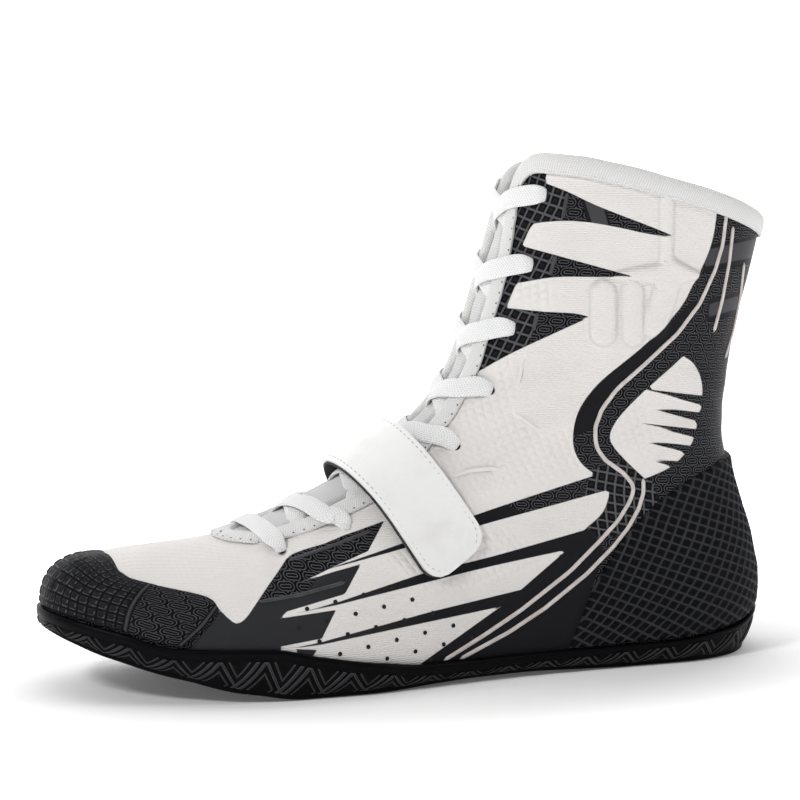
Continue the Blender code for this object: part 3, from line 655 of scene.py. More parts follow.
@dataclass(frozen=True)
class PhotoView:
    """The photograph's camera: angles in degrees, lengths in millimetres, its frame in pixels."""

    azimuth: float = -20.0
    elevation: float = 7.8
    distance: float = 1300.0
    target: Triple = (-4.0, 0.0, 104.4)
    pixels_per_mm: float = 2.594
    frame: float = 800.0
    sensor: float = 36.0
    toe_pixel: float = 40.0
    floor_pixel: float = 702.0
    heights: tuple[float, float] = (6.0, 194.0)
    vamp_height: float = 60.0
    toe_along: float = 3.0
    margin: float = 0.6
    probe: float = 0.2
    longest: float = 6.0
    rounds: int = 40

    def axes(self) -> tuple[Points, Points, Points]:
        """The view's right, up and backward directions."""
        turn, tilt = math.radians(self.azimuth), math.radians(self.elevation)
        back = np.array([math.sin(turn) * math.cos(tilt), -math.cos(turn) * math.cos(tilt), math.sin(tilt)])
        right = np.array([math.cos(turn), math.sin(turn), 0.0])
        return right, np.cross(back, right), back

    def project(self, points: Points) -> Points:
        """Pixels where points in millimetres show."""
        right, up, back = self.axes()
        seen = points - (np.array(self.target) + back * self.distance)
        scale = self.pixels_per_mm * self.distance / -(seen @ back)
        middle = self.frame / 2
        return np.stack([middle + scale * (seen @ right), middle - scale * (seen @ up)], axis=-1)

    def find(self, last: Last, pixels: Sequence[Pixel]) -> Points:
        """Side-view places on the outer side that show at pixels, bettered round by round.

        Args:
            last: the form that the pixels lie on.
            pixels: places in the photograph's frame.

        Returns:
            One place for each pixel.
        """
        wanted = np.array(pixels, float)
        guess = np.stack([wanted[:, 0] - self.toe_pixel, self.floor_pixel - wanted[:, 1]], axis=-1)
        places = guess / self.pixels_per_mm
        for _ in range(self.rounds):
            level = np.clip(places[:, 1], *self.heights)
            front = np.where(level > self.vamp_height, last.ridge_along(level), self.toe_along) + self.margin
            behind = HEEL_BACK.at("along", level) - self.margin
            places = np.stack([np.clip(places[:, 0], front, behind), level], axis=-1)
            here = self.project(last.on(Side.LATERAL, places))
            moved = [self.project(last.on(Side.LATERAL, places + self.probe * way)) for way in np.eye(2)]
            slopes = np.stack([(spot - here) / self.probe for spot in moved], axis=-1) + 1e-6 * np.eye(2)
            move = np.linalg.solve(slopes, (wanted - here)[..., None])
            places = places + np.clip(move[..., 0], -self.longest, self.longest)
        return places

    def build(self) -> Item:
        """Adds the camera and makes it the scene's."""
        _, _, back = self.axes()
        place = (np.array(self.target) + back * self.distance) * MM
        turn = Vector(back).to_track_quat("Z", "Y").to_euler()
        bpy.ops.object.camera_add(location=place, rotation=turn)
        camera = bpy.context.object
        camera.name = "photo_camera"
        camera.data.sensor_width = self.sensor
        camera.data.lens = self.pixels_per_mm * self.distance / self.frame * self.sensor
        bpy.context.scene.camera = camera
        return camera


class Value:
    """A shader socket whose arithmetic adds Math nodes."""

    def __init__(self, graph: "Graph", socket: bpy.types.NodeSocket) -> None:
        """Wraps a socket of a graph."""
        self.graph = graph
        self.socket = socket

    def math(self, operation: str, *others: Number) -> "Value":
        """A Math node on this value and others."""
        sockets = {index: value for index, value in enumerate((self, *others))}
        return self.graph.node("Math", {"operation": operation}, sockets)

    def __add__(self, other: Number) -> "Value":
        """The sum."""
        return self.math("ADD", other)

    __radd__ = __add__

    def __sub__(self, other: Number) -> "Value":
        """The difference."""
        return self.math("SUBTRACT", other)

    def __rsub__(self, other: float) -> "Value":
        """A number less this value."""
        return (self * -1.0).math("ADD", other)

    def __mul__(self, other: Number) -> "Value":
        """The product."""
        return self.math("MULTIPLY", other)

    def __truediv__(self, other: Number) -> "Value":
        """The quotient."""
        return self.math("DIVIDE", other)

    def __abs__(self) -> "Value":
        """The size without its sign."""
        return self.math("ABSOLUTE")

    def fract(self) -> "Value":
        """What is left over a whole number."""
        return self.math("FRACT")

    def step(self, start: float, end: float) -> "Value":
        """A soft step from 0 at start to 1 at end."""
        settings = {"interpolation_type": "SMOOTHSTEP"}
        values = {"Value": self, "From Min": min(start, end), "From Max": max(start, end)}
        low, high = (0.0, 1.0) if start < end else (1.0, 0.0)
        return self.graph.node("MapRange", settings, {**values, "To Min": low, "To Max": high})


class Graph:
    """A material's node tree, built by calls."""

    def __init__(self, name: str, roughness: float) -> None:
        """Makes a material with a Principled shader of one roughness."""
        self.material = bpy.data.materials.new(name)
        self.material.use_nodes = True
        self.tree = self.material.node_tree
        self.shader = self.tree.nodes["Principled BSDF"]
        self.put("Roughness", roughness)

    def node(self, kind: str, settings: dict, sockets: dict, output: Union[int, str] = 0) -> Value:
        """Adds a node.

        Args:
            kind: the node's type without its prefix.
            settings: its properties, set first.
            sockets: values or links of its inputs, by name or number.
            output: the output that is wanted.

        Returns:
            That output.
        """
        made = self.tree.nodes.new("ShaderNode" + kind)
        for name, setting in settings.items():
            setattr(made, name, setting)
        for name, value in sockets.items():
            self.feed(made.inputs[name], value)
        return Value(self, made.outputs[output])

    def feed(self, socket: bpy.types.NodeSocket, value: Union[Number, tuple]) -> None:
        """Links a value to a socket, or sets it."""
        if isinstance(value, Value):
            self.tree.links.new(value.socket, socket)
        elif isinstance(value, tuple) and len(value) == 3 and socket.type == "RGBA":
            socket.default_value = (*value, 1.0)
        else:
            socket.default_value = value

    def put(self, name: str, value: Union[Number, tuple]) -> None:
        """Links a value that varies to one of the shader's sockets, or sets one that is the same all over."""
        self.feed(self.shader.inputs[name], value)

    def attribute(self, name: str) -> Value:
        """A number that the mesh carries."""
        return self.node("Attribute", {"attribute_name": name}, {}, "Fac")

    def vector(self, name: str) -> tuple[Value, Value, Value]:
        """Three numbers that the mesh carries."""
        return self.split(self.node("Attribute", {"attribute_name": name}, {}, "Vector"))

    def split(self, vector: Value) -> tuple[Value, Value, Value]:
        """A vector's parts."""
        first = self.node("SeparateXYZ", {}, {0: vector})
        outputs = first.socket.node.outputs
        return first, Value(self, outputs[1]), Value(self, outputs[2])

    def place(self) -> Value:
        """Object coordinates."""
        return self.node("TexCoord", {}, {}, "Object")

    def noise(self, scale: float, detail: float = 2.0) -> Value:
        """Soft noise around a half in object coordinates."""
        return self.node("TexNoise", {}, {"Vector": self.place(), "Scale": scale, "Detail": detail})

    def mix(self, share: Number, first: Union[Value, tuple], second: Union[Value, tuple]) -> Value:
        """A colour between two."""
        return self.node("Mix", {"data_type": "RGBA"}, {0: share, 6: first, 7: second}, 2)

    def relief(self, height: Value) -> None:
        """Feeds the normal from a height in millimetres."""
        bump = self.node("Bump", {}, {"Strength": 1.0, "Distance": MM, "Height": height}, "Normal")
        self.put("Normal", bump)

    def pillow(self, across: Value, pitch: float) -> Value:
        """Round swells side by side: 1 on top and 0 between them."""
        return abs((across * math.pi / pitch).math("SINE"))

    def pads(self, across: Value, up: Value, pitch: float, gap: float) -> Value:
        """Square pads: 1 on a pad and 0 in the grooves."""
        one = abs((across / pitch).fract() - 0.5)
        two = abs((up / pitch).fract() - 0.5)
        edge = 0.5 - gap / (2.0 * pitch)
        return one.math("MAXIMUM", two).step(edge + 0.06, edge - 0.05)

    def links(self, across: Value, up: Value, size: tuple[float, float], spacing: float) -> Value:
        """Raised chain links: long rings inside one another, laid in offset rows.

        Args:
            across: the place along a row.
            up: the place across the rows.
            size: a link's length and height.
            spacing: the distance between rings.

        Returns:
            1 on a ring and 0 beside it.
        """
        length, height = size
        row = (up / height).math("FLOOR")
        shift = (row * 0.5).fract()
        cell = ((across / length + shift).fract() - 0.5) * length
        level = ((up / height).fract() - 0.5) * height
        beyond = (abs(cell) - (length - height) * 0.42).math("MAXIMUM", 0.0)
        far = (beyond * beyond + level * level).math("SQRT")
        return abs((far / spacing).fract() - 0.5).step(0.24, 0.1)


class Bench:
    """Makes meshes from primitives and turns them into finished pieces."""

    seam = 1e-6
    dish_rim = 0.16
    dish_depth = 0.1

    @staticmethod
    def pick(*items: Item) -> None:
        """Selects these objects alone and makes the first of them active."""
        bpy.ops.object.select_all(action="DESELECT")
        for item in items:
            item.select_set(True)
        if items:
            bpy.context.view_layer.objects.active = items[0]

    @staticmethod
    def grid(name: str, points: Points, carried: Optional[dict[str, Points]] = None) -> Item:
        """A grid primitive with its points placed.

        Args:
            name: the piece's name.
            points: places in millimetres by column and row.
            carried: numbers or vectors for the shader, in the same order.

        Returns:
            The object.
        """
        Bench.pick()
        columns, rows = points.shape[:2]
        bpy.ops.mesh.primitive_grid_add(x_subdivisions=columns - 1, y_subdivisions=rows - 1, size=2.0)
        item = bpy.context.object
        item.name = name
        item.data.name = name
        flat = np.zeros(3 * columns * rows, np.float32)
        item.data.vertices.foreach_get("co", flat)
        flat = flat.reshape(-1, 3)
        column = np.rint((flat[:, 0] + 1.0) / 2.0 * (columns - 1)).astype(int)
        row = np.rint((flat[:, 1] + 1.0) / 2.0 * (rows - 1)).astype(int)
        placed = (points[column, row] * MM).astype(np.float32)
        item.data.vertices.foreach_set("co", placed.ravel())
        for key, values in (carried or {}).items():
            kind = "FLOAT" if values.ndim == 2 else "FLOAT_VECTOR"
            made = item.data.attributes.new(key, kind, "POINT")
            field_name = "value" if kind == "FLOAT" else "vector"
            made.data.foreach_set(field_name, values[column, row].astype(np.float32).ravel())
        item.data.update()
        return item

    @staticmethod
    def close(item: Item) -> Item:
        """Merges a grid's doubled seams and turns its faces outwards.

        Args:
            item: the object.

        Returns:
            The same object.
        """
        Bench.pick(item)
        bpy.ops.object.mode_set(mode="EDIT")
        bpy.ops.mesh.select_all(action="SELECT")
        bpy.ops.mesh.remove_doubles(threshold=Bench.seam)
        bpy.ops.mesh.normals_make_consistent(inside=False)
        bpy.ops.mesh.select_all(action="DESELECT")
        bpy.ops.object.mode_set(mode="OBJECT")
        return item

    @staticmethod
    def apply(item: Item, kind: str, **settings: object) -> Item:
        """Adds a modifier with settings and applies it.

        Args:
            item: the object.
            kind: the modifier's type.
            settings: its properties.

        Returns:
            The same object.
        """
        Bench.pick(item)
        change = item.modifiers.new(kind.lower(), kind)
        for name, setting in settings.items():
            setattr(change, name, setting)
        bpy.ops.object.modifier_apply(modifier=change.name)
        return item

    @staticmethod
    def smooth(item: Item, angle: float = 50.0) -> Item:
        """Shades a piece smooth, with sharp edges past an angle in degrees."""
        Bench.pick(item)
        bpy.ops.object.shade_smooth_by_angle(angle=math.radians(angle))
        return item

    @staticmethod
    def shell(name: str, points: Points, carried: dict[str, Points], angle: float = 60.0) -> Item:
        """A closed piece of a grid, shaded smooth up to an angle."""
        return Bench.smooth(Bench.close(Bench.grid(name, points, carried)), angle)

    @staticmethod
    def finish(item: Item, material: Material, slot: str, *nodes: str) -> Item:
        """Dresses a piece, puts it on the body and lets it stand for its solids.

        Args:
            item: the piece.
            material: its finish.
            slot: the record's material slot; it is not used.
            nodes: the solids that it replaces.

        Returns:
            The piece.
        """
        item.data.materials.clear()
        item.data.materials.append(material)
        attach(item, BODY)
        if nodes:
            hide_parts(*nodes)
        return item

    @staticmethod
    def scatter(name: str, template: Item, frames: Points) -> Item:
        """Copies a small template to many places as one joined mesh.

        Args:
            name: the piece's name.
            template: an object about a millimetre in size, modelled in metres; it is used up.
            frames: by copy, three axes and a place in millimetres, as rows of a 4 by 3 array.

        Returns:
            The joined piece.
        """
        count = len(template.data.vertices)
        local = np.zeros(3 * count, np.float32)
        template.data.vertices.foreach_get("co", local)
        local = local.reshape(-1, 3) / MM
        spots = np.einsum("va,nax->nvx", local, frames[:, :3]) + frames[:, None, 3]
        faces = []
        shapes = [tuple(face.vertices) for face in template.data.polygons]
        for copy in range(len(frames)):
            faces += [tuple(index + copy * count for index in shape) for shape in shapes]
        mesh = bpy.data.meshes.new(name)
        mesh.from_pydata((spots.reshape(-1, 3) * MM).tolist(), [], faces)
        item = bpy.data.objects.new(name, mesh)
        bpy.context.scene.collection.objects.link(item)
        bpy.data.objects.remove(template, do_unlink=True)
        return Bench.smooth(Bench.close(item))

    @staticmethod
    def stitch() -> Item:
        """One thread's visible stretch, lying along X."""
        Bench.pick()
        bpy.ops.mesh.primitive_uv_sphere_add(segments=8, ring_count=6, radius=0.5 * MM)
        return bpy.context.object

    @staticmethod
    def disc(sides: int) -> Item:
        """A flat dish of one millimetre's radius, sunk within its rim and facing Z.

        Args:
            sides: how many corners its outline has.

        Returns:
            The object.
        """
        Bench.pick()
        bpy.ops.mesh.primitive_circle_add(vertices=sides, radius=MM, fill_type="NGON")
        item = bpy.context.object
        bpy.ops.object.mode_set(mode="EDIT")
        bpy.ops.mesh.select_all(action="SELECT")
        bpy.ops.mesh.inset(thickness=Bench.dish_rim * MM, depth=-Bench.dish_depth * MM)
        bpy.ops.mesh.select_all(action="DESELECT")
        bpy.ops.object.mode_set(mode="OBJECT")
        return item


def frames_on(spots: Points, along: Points, normal: Points, sizes: Triple) -> Points:
    """Frames for copies: their first axis along a direction, their third along the normal.

    Args:
        spots: places in millimetres.
        along: directions, not need be square to the normals.
        normal: outward directions.
        sizes: the copies' scale on each axis.

    Returns:
        Rows of axes and place for Bench.scatter.
    """
    side = unit(np.cross(normal, along))
    first = np.cross(side, normal)
    return np.stack([first * sizes[0], side * sizes[1], normal * sizes[2], spots], axis=1)


def stretch_distance(points: Points, start: Points, end: Points) -> Points:
    """Distance from points to one straight stretch."""
    run, to_point = end - start, points - start
    share = np.clip(to_point @ run / max(run @ run, TINY), 0.0, 1.0)
    return np.linalg.norm(to_point - share[:, None] * run, axis=1)


def outline_distance(points: Points, outline: Points) -> Points:
    """Signed distance to a closed outline.

    Args:
        points: places in the outline's plane.
        outline: the outline's corners.

    Returns:
        One distance for each place, negative inside.
    """
    best = np.full(len(points), np.inf)
    inside = np.zeros(len(points), bool)
    for start, end in zip(outline, np.roll(outline, -1, axis=0)):
        best = np.minimum(best, stretch_distance(points, start, end))
        crosses = (start[1] > points[:, 1]) != (end[1] > points[:, 1])
        rise = end[1] - start[1] if abs(end[1] - start[1]) > TINY else TINY
        inside ^= crosses & (points[:, 0] < start[0] + (points[:, 1] - start[1]) / rise * (end[0] - start[0]))
    return np.where(inside, -best, best)


def even_places(line: Points, normal: Points, pitch: float) -> tuple[Points, Points, Points, Points]:
    """Even places along a line.

    Args:
        line: the line's points.
        normal: their normals.
        pitch: the distance between places.

    Returns:
        Running lengths, places, directions and normals.
    """
    length = arc_length(line)
    at = np.arange(0.0, length[-1], pitch)
    along = read_line(unit(np.gradient(line, axis=0)), length, at)
    return at, read_line(line, length, at), along, unit(read_line(normal, length, at))


def trace(*runs: Sequence[Pixel]) -> Points:
    """An outline of runs that join at corners; a run of three or more points is smooth."""
    spots = [np.array(run, float) if len(run) < 3 else smooth_line(run, 8 * len(run)) for run in runs]
    return np.vstack(spots)


class Artwork:
    """The printed panels, as outlines in the photograph's frame."""

    saddle = trace(
        [(130, 700), (180, 640), (221, 611)],
        [(221, 611), (229, 619), (237, 623.5), (246, 618), (257, 602.5)], [(286, 559), (291, 555)],
        [(384, 521), (368, 551)], [(303, 581), (361, 564)], [(345, 594), (287, 611.5)],
        [(280, 618.5), (336, 610)], [(322, 638.5), (281, 646.5)], [(281, 700), (130, 700)],
    )
    under_cap = trace(
        [(20, 545), (106, 562)], [(150, 592), (200, 602)], [(214, 612), (200, 640)],
        [(160, 720), (20, 720)],
    )
    sliver = trace([(297, 649), (317, 650)], [(313, 656), (297, 656)])
    stripes = trace(
        [(321, 571.5), (403, 543), (477, 514.5), (596, 475)], [(660, 440), (800, 440)],
        [(800, 700), (410, 700)], [(419, 665), (500.6, 606.6)], [(430, 621.6), (322, 644.6)],
        [(292, 648.4), (322, 642)], [(430, 612), (521, 589.7)],
        [(567, 549.7), (490, 566.6), (430, 581.5), (337, 605)], [(296, 613.3), (338.4, 602)],
        [(430, 571), (490, 557), (584, 530.3)], [(584, 530.3), (603, 512), (611, 489)],
        [(488.5, 523), (407, 547.5)],
    )
    rear = trace(
        [
            (719, 195), (717, 211.5), (713, 238), (705, 261), (693, 285), (678, 311), (643.5, 346),
            (604, 378.5), (585, 400), (576, 417.5), (573, 437), (575, 452), (583, 465), (596, 475),
        ],
        [(660, 560), (820, 560)], [(820, 195), (719, 195)],
    )
    claws = trace(
        [(500, 165), (548, 165)], [(545, 183), (568, 192), (600, 207), (656.5, 229), (679, 239)],
        [(643.5, 233), (609, 225.6), (574, 221), (540, 222.5), (531, 227), (522, 246)],
        [(544, 252), (591, 265), (631.5, 276)],
        [(600, 277), (557, 277), (524, 282), (516, 285), (506, 308)],
        [(546, 312), (574, 313.5), (590, 317)], [(557, 332), (513, 352.5), (474, 374)],
        [(460, 380), (500, 165)],
    )
    field = trace(
        [(684, 356), (658.6, 378.5), (635, 400), (617, 420), (610, 435), (613, 446), (626, 461), (645, 479)],
        [(645, 479), (672, 466), (690, 446), (699, 418), (702, 388), (696, 366), (684, 356)],
    )
    slashes = tuple(
        trace([(712, 397 + drop), (644 - 2 * row, 389 + drop)], [(712, 408 + drop)] * 2)
        for row, drop in enumerate(range(0, 85, 17))
    )
    zones = {
        "padded": (
            trace(
                [(440, 150), (572, 150)],
                [(567.6, 193), (562, 223.5), (555.6, 254), (549, 278), (538, 311), (532, 335)],
                [(515, 390), (440, 390)],
            ),
            trace([(590, 470), (640, 455)], [(660, 500), (632, 530)], [(600, 540), (580, 520)]),
        ),
        "smooth": (
            trace(
                [(140, 700), (192, 647)], [(221, 611), (237, 624)], [(259, 602), (300, 595), (353, 580)],
                [(358, 600), (330, 660)], [(281, 700), (140, 700)],
            ),
            trace(
                [(290, 620), (321, 571.5)], [(403, 540), (500, 503)], [(545, 520), (592, 530)],
                [(604, 552), (575, 640)], [(560, 700), (280, 700)],
            ),
            trace(
                [(693, 300), (660, 331), (604, 378.5), (576, 417), (573, 437)],
                [(595, 428), (602, 409), (617, 389), (643, 365), (678, 333), (700, 303)],
            ),
            trace([(579, 190), (602, 198)], [(613, 232), (590, 232)]),
            trace([(705, 246), (760, 234)], [(760, 262), (703, 273)]),
            trace([(708, 300), (745, 290)], [(745, 312), (706, 322)]),
        ),
        "bars": (
            trace([(581, 190), (600, 196)], [(610.5, 232), (595, 232)]),
            trace([(706, 250), (760, 238)], [(760, 256), (704, 267)]),
            trace([(710, 304), (745, 294)], [(745, 307), (708, 317)]),
        ),
        "waffle": (
            trace(
                [(440, 400), (515, 352)], [(512, 415), (545, 432)], [(575, 425), (585, 470)],
                [(480, 500), (400, 440)],
            ),
            trace([(500, 235), (540, 240)], [(560, 310), (490, 300)]),
            trace([(610, 400), (650, 390)], [(650, 470), (606, 440)]),
            trace([(380, 560), (500, 520)], [(560, 560), (440, 600)]),
        ),
    }
    pads = (
        ((603, 293), (603, 333), 14.0),
        ((632.5, 290), (632.5, 336), 11.5),
        ((669, 279), (654, 327), 13.0),
    )
    arch = ((600, 277), (620, 270), (639, 266), (656.5, 263.6), (671.6, 258), (685, 264), (700, 272))
    welts = (
        trace(arch, [(700, 279), (672, 285), (645, 284), (620, 281), (600, 279)]),
        trace([(659, 190), (675, 190)], [(673, 262), (658, 264)]),
    )

    def __init__(self, view: PhotoView) -> None:
        """Keeps the view that the outlines were read in."""
        self.view = view

    def nearest(self, pixels: Points, *outlines: Points) -> Points:
        """Signed distance in millimetres to the nearest of some outlines."""
        away = [outline_distance(pixels, shape) for shape in outlines]
        return np.min(away, axis=0) / self.view.pixels_per_mm

    def ink(self, pixels: Points) -> Points:
        """Signed distance to the black print, negative inside."""
        panels = (self.under_cap, self.saddle, self.sliver, self.stripes, self.rear, self.claws)
        dark = np.maximum(self.nearest(pixels, *panels), -self.nearest(pixels, self.field))
        return np.minimum(dark, self.nearest(pixels, *self.slashes))

    def mould(self, pixels: Points) -> Points:
        """Signed distance to the moulded ankle pads and welts, negative inside."""
        pads = [stretch_distance(pixels, np.array(a), np.array(b)) - radius for a, b, radius in self.pads]
        return np.minimum(np.min(pads, axis=0) / self.view.pixels_per_mm, self.nearest(pixels, *self.welts))

    def distances(self, pixels: Points) -> dict[str, Points]:
        """Every distance that the upper's finish reads, by its attribute's name."""
        told = {name: self.nearest(pixels, *outlines) for name, outlines in self.zones.items()}
        return {"ink": self.ink(pixels), "mould": self.mould(pixels), **told}


@dataclass(frozen=True)
class PrintedKnit:
    """The upper's cloth: white with a faint waffle, black where the moulded print lies."""

    white: Triple = (0.80, 0.77, 0.75)
    shade: Triple = (0.70, 0.67, 0.65)
    # painted shade for the grooves around the moulded pads and welts
    fold: Triple = (0.45, 0.43, 0.42)
    black: Triple = (0.004, 0.0042, 0.0055)
    # painted highlight for the raised lines of the print
    ridge: Triple = (0.11, 0.111, 0.118)
    # smooth black towards the toe, lightened with painted light
    plain: Triple = (0.031, 0.0315, 0.034)
    band: Triple = (0.012, 0.0122, 0.0145)
    bar: Triple = (0.058, 0.058, 0.062)
    lining: Triple = (0.62, 0.62, 0.63)
    edge: float = 0.16
    waffle: float = 3.3
    waffle_height: float = 0.42
    knit_height: float = 0.06
    mould_height: float = 1.1
    line_height: float = 0.9
    square_height: float = 0.3
    film: float = 0.25
    pad_pitch: float = 3.9
    pad_gap: float = 1.0
    square_gap: float = 2.3
    link: tuple[float, float] = (7.0, 3.7)
    link_spacing: float = 1.05

    def material(self) -> Material:
        """The finish as a material."""
        graph = Graph("printed_knit", 0.7)
        around, up, inside = graph.vector("chart")
        ink = graph.attribute("ink") + (graph.noise(900.0) - 0.5) * 0.1
        outer = inside.step(0.6, 0.4)
        dark = ink.step(self.edge, -self.edge) * outer
        smooth = graph.attribute("smooth").step(-0.4, 0.4)
        padded = graph.attribute("padded").step(0.3, -0.3)
        turned, leaned = around * 0.94 - up * 0.34, up * 0.94 + around * 0.34
        waffle = graph.pillow(turned, self.waffle) * graph.pillow(leaned, self.waffle)
        zone = graph.attribute("waffle").step(5.0, -5.0)
        knit = (up * 7.4 + (around * 2.6).math("SINE") * 0.8).math("SINE")
        net = (around * 0.97 + up * 0.25, up * 0.97 - around * 0.25)
        pads = graph.pads(*net, self.pad_pitch, self.pad_gap)
        squares = graph.pads(*net, self.pad_pitch, self.square_gap)
        links = graph.links(around + up * 0.12, up - around * 0.08, self.link, self.link_spacing)
        lines = (padded * (1.0 - pads) + (1.0 - padded) * links) * smooth
        grain = (graph.noise(1400.0, 4.0) - 0.5) * 0.08
        raised = lines * self.line_height + squares * padded * smooth * self.square_height + self.film
        mould = graph.attribute("mould")
        # painted shade: a thin line of the fold colour darkens the white around each moulded pad and welt
        groove = abs(mould).step(0.9, 0.0)
        swell = waffle * zone * self.waffle_height + knit * (1.0 - zone) * self.knit_height
        cloth = (outer - dark) * (swell + mould.step(0.6, -1.6) * self.mould_height)
        graph.relief(dark * raised + grain + cloth)
        # random tone, plus painted shade in the hollows between the waffle's pillows
        tone_and_hollow_shade = graph.noise(40.0, 4.0).step(0.35, 0.8) * 0.3 + (1.0 - waffle) * zone * 0.12
        pale = graph.mix(groove * 0.22, graph.mix(tone_and_hollow_shade, self.white, self.shade), self.fold)
        # painted light: the smooth black is lighter towards the toe than behind the middle, standing in for
        # gloss lit there
        along, _, _ = graph.split(graph.place())
        flat = graph.mix(along.step(-0.06, 0.0), self.plain, self.band)
        # painted shade: each square on the padded print keeps a black rim around a lighter centre
        base = graph.mix(smooth * (1.0 - padded * squares), flat, self.black)
        barred = graph.attribute("bars").step(0.25, -0.25)
        # painted highlight: the raised grid lines and link rings take the lighter ridge colour
        deep = graph.mix(barred, graph.mix(lines * 0.9, base, self.ridge), self.bar)
        outside = graph.mix(dark, pale, deep)
        graph.put("Base Color", graph.mix(outer, self.lining, outside))
        graph.put("Roughness", 0.82 - dark * 0.4 + (graph.noise(160.0) - 0.5) * 0.12)
        graph.put("Specular IOR Level", LOW_SHINE)
        return graph.material


@dataclass(frozen=True)
class MouldedRubber:
    """Black rubber or moulded plastic with a fine satin grain."""

    name: str
    base: Triple = (0.004, 0.0042, 0.0052)
    # painted highlight for the raised places
    worn: Triple = (0.1, 0.101, 0.108)
    gloss: float = 0.42
    grain: float = 0.06
    link: Optional[tuple[float, float]] = None
    link_spacing: float = 1.15

    def material(self) -> Material:
        """The finish as a material; raised places carry an attribute and get a painted highlight."""
        graph = Graph(self.name, self.gloss)
        raised = graph.attribute("raised").step(0.0, 1.0)
        dust_and_sheen = graph.noise(90.0, 4.0)
        height = (graph.noise(1700.0, 3.0) - 0.5) * self.grain
        if self.link:
            run, up, behind = graph.vector("chart")
            lines = graph.links(run, up, self.link, self.link_spacing) * behind.step(0.4, 0.6)
            raised = raised.math("MAXIMUM", lines)
            height = height + lines * 0.6
        # painted highlight on the raised places and link rings, varied by noise
        graph.put("Base Color", graph.mix(raised * (dust_and_sheen * 0.5 + 0.55), self.base, self.worn))
        graph.put("Roughness", self.gloss + (dust_and_sheen - 0.5) * 0.25)
        graph.relief(height)
        graph.put("Specular IOR Level", LOW_SHINE)
        return graph.material


@dataclass(frozen=True)
class RibbedRubber:
    """The sole's rubber: pairs of leaning ribs around the wall, with thin crossing ribs between them."""

    base: Triple = (0.0025, 0.0025, 0.0032)
    # painted highlight along the ribs' edges
    worn: Triple = (0.26, 0.26, 0.27)
    pitch: float = 17.0
    pair: float = 2.9
    rib: float = 0.85
    height: float = 0.8

    def material(self) -> Material:
        """The finish as a material."""
        graph = Graph("sole_rubber", 0.4)
        run, share, _ = graph.vector("chart")
        lean = ((run / self.pitch + share * 0.5).fract() - 0.5) * self.pitch
        back = ((run / self.pitch - share * 0.5).fract() - 0.5) * self.pitch
        paired = abs(lean).math("MINIMUM", abs(lean - self.pair))
        ribs = paired.step(self.rib, 0.6 * self.rib)
        inner = abs(paired.math("MINIMUM", abs(back)) - self.pair)
        crossing = abs(back).math("MINIMUM", inner * 1.6).step(0.7, 0.35)
        margin = share.step(0.02, 0.1) * share.step(0.99, 0.93)
        lines = ribs.math("MAXIMUM", crossing) * margin
        # painted highlight: the ribs' edges are lighter, and the ribs a little lighter than the wall
        rim = abs(lines - 0.5).step(0.5, 0.2) * margin
        dust_and_sheen = graph.noise(90.0, 4.0)
        graph.put("Base Color", graph.mix(rim * (dust_and_sheen * 0.7 + 0.3) + lines * 0.15, self.base, self.worn))
        graph.put("Roughness", 0.4 + (dust_and_sheen - 0.5) * 0.25)
        graph.relief(lines * self.height + (graph.noise(1700.0, 3.0) - 0.5) * 0.06)
        graph.put("Specular IOR Level", LOW_SHINE)
        return graph.material


@dataclass(frozen=True)
class WovenCloth:
    """A woven or knitted cloth that follows the piece's own run and breadth."""

    name: str
    light: Triple
    deep: Triple
    pitch: float
    depth: float
    slant: float = 0.5

    def material(self) -> Material:
        """The finish as a material."""
        graph = Graph(self.name, 0.85)
        run, breadth, _ = graph.vector("weave")
        turn = 2.0 * math.pi / self.pitch
        chevron = abs(breadth) * self.slant
        warp = ((run + chevron) * turn).math("SINE")
        weft = (breadth * turn * 1.4).math("SINE")
        thread = (warp * 0.6 + weft * 0.4) * 0.5 + 0.5
        fuzz = graph.noise(1500.0, 4.0) - 0.5
        graph.relief(thread * self.depth + fuzz * 0.08)
        # painted shade: the cloth is darker where its threads sink
        graph.put("Base Color", graph.mix(thread.step(0.05, 0.6), self.deep, self.light))
        graph.put("Sheen Weight", 0.2)
        return graph.material


@dataclass(frozen=True)
class GrainedLeather:
    """White coated leather with fine pebbling and soft marks."""

    white: Triple = (0.88, 0.875, 0.87)
    marked: Triple = (0.74, 0.73, 0.72)

    def material(self) -> Material:
        """The finish as a material."""
        graph = Graph("grained_leather", 0.5)
        sockets = {"Vector": graph.place(), "Scale": 1250.0}
        cells = graph.node("TexVoronoi", {"feature": "SMOOTH_F1"}, sockets, "Distance")
        graph.relief(cells * 0.09 + (graph.noise(420.0, 5.0) - 0.5) * 0.12)
        marks = graph.noise(70.0, 4.0).step(0.5, 0.85) * 0.5
        graph.put("Base Color", graph.mix(marks, self.white, self.marked))
        graph.put("Roughness", 0.46 + (graph.noise(210.0, 3.0) - 0.5) * 0.2)
        graph.put("Coat Weight", 0.08)
        return graph.material


@dataclass(frozen=True)
class PlainFinish:
    """A finish for threads, holes and thin lines."""

    name: str
    base: Triple
    second: Triple
    gloss: float = 0.7

    def material(self) -> Material:
        """The finish as a material."""
        graph = Graph(self.name, self.gloss)
        graph.put("Base Color", graph.mix(graph.noise(260.0, 3.0).step(0.3, 0.7), self.base, self.second))
        graph.relief((graph.noise(2200.0, 2.0) - 0.5) * 0.05)
        return graph.material


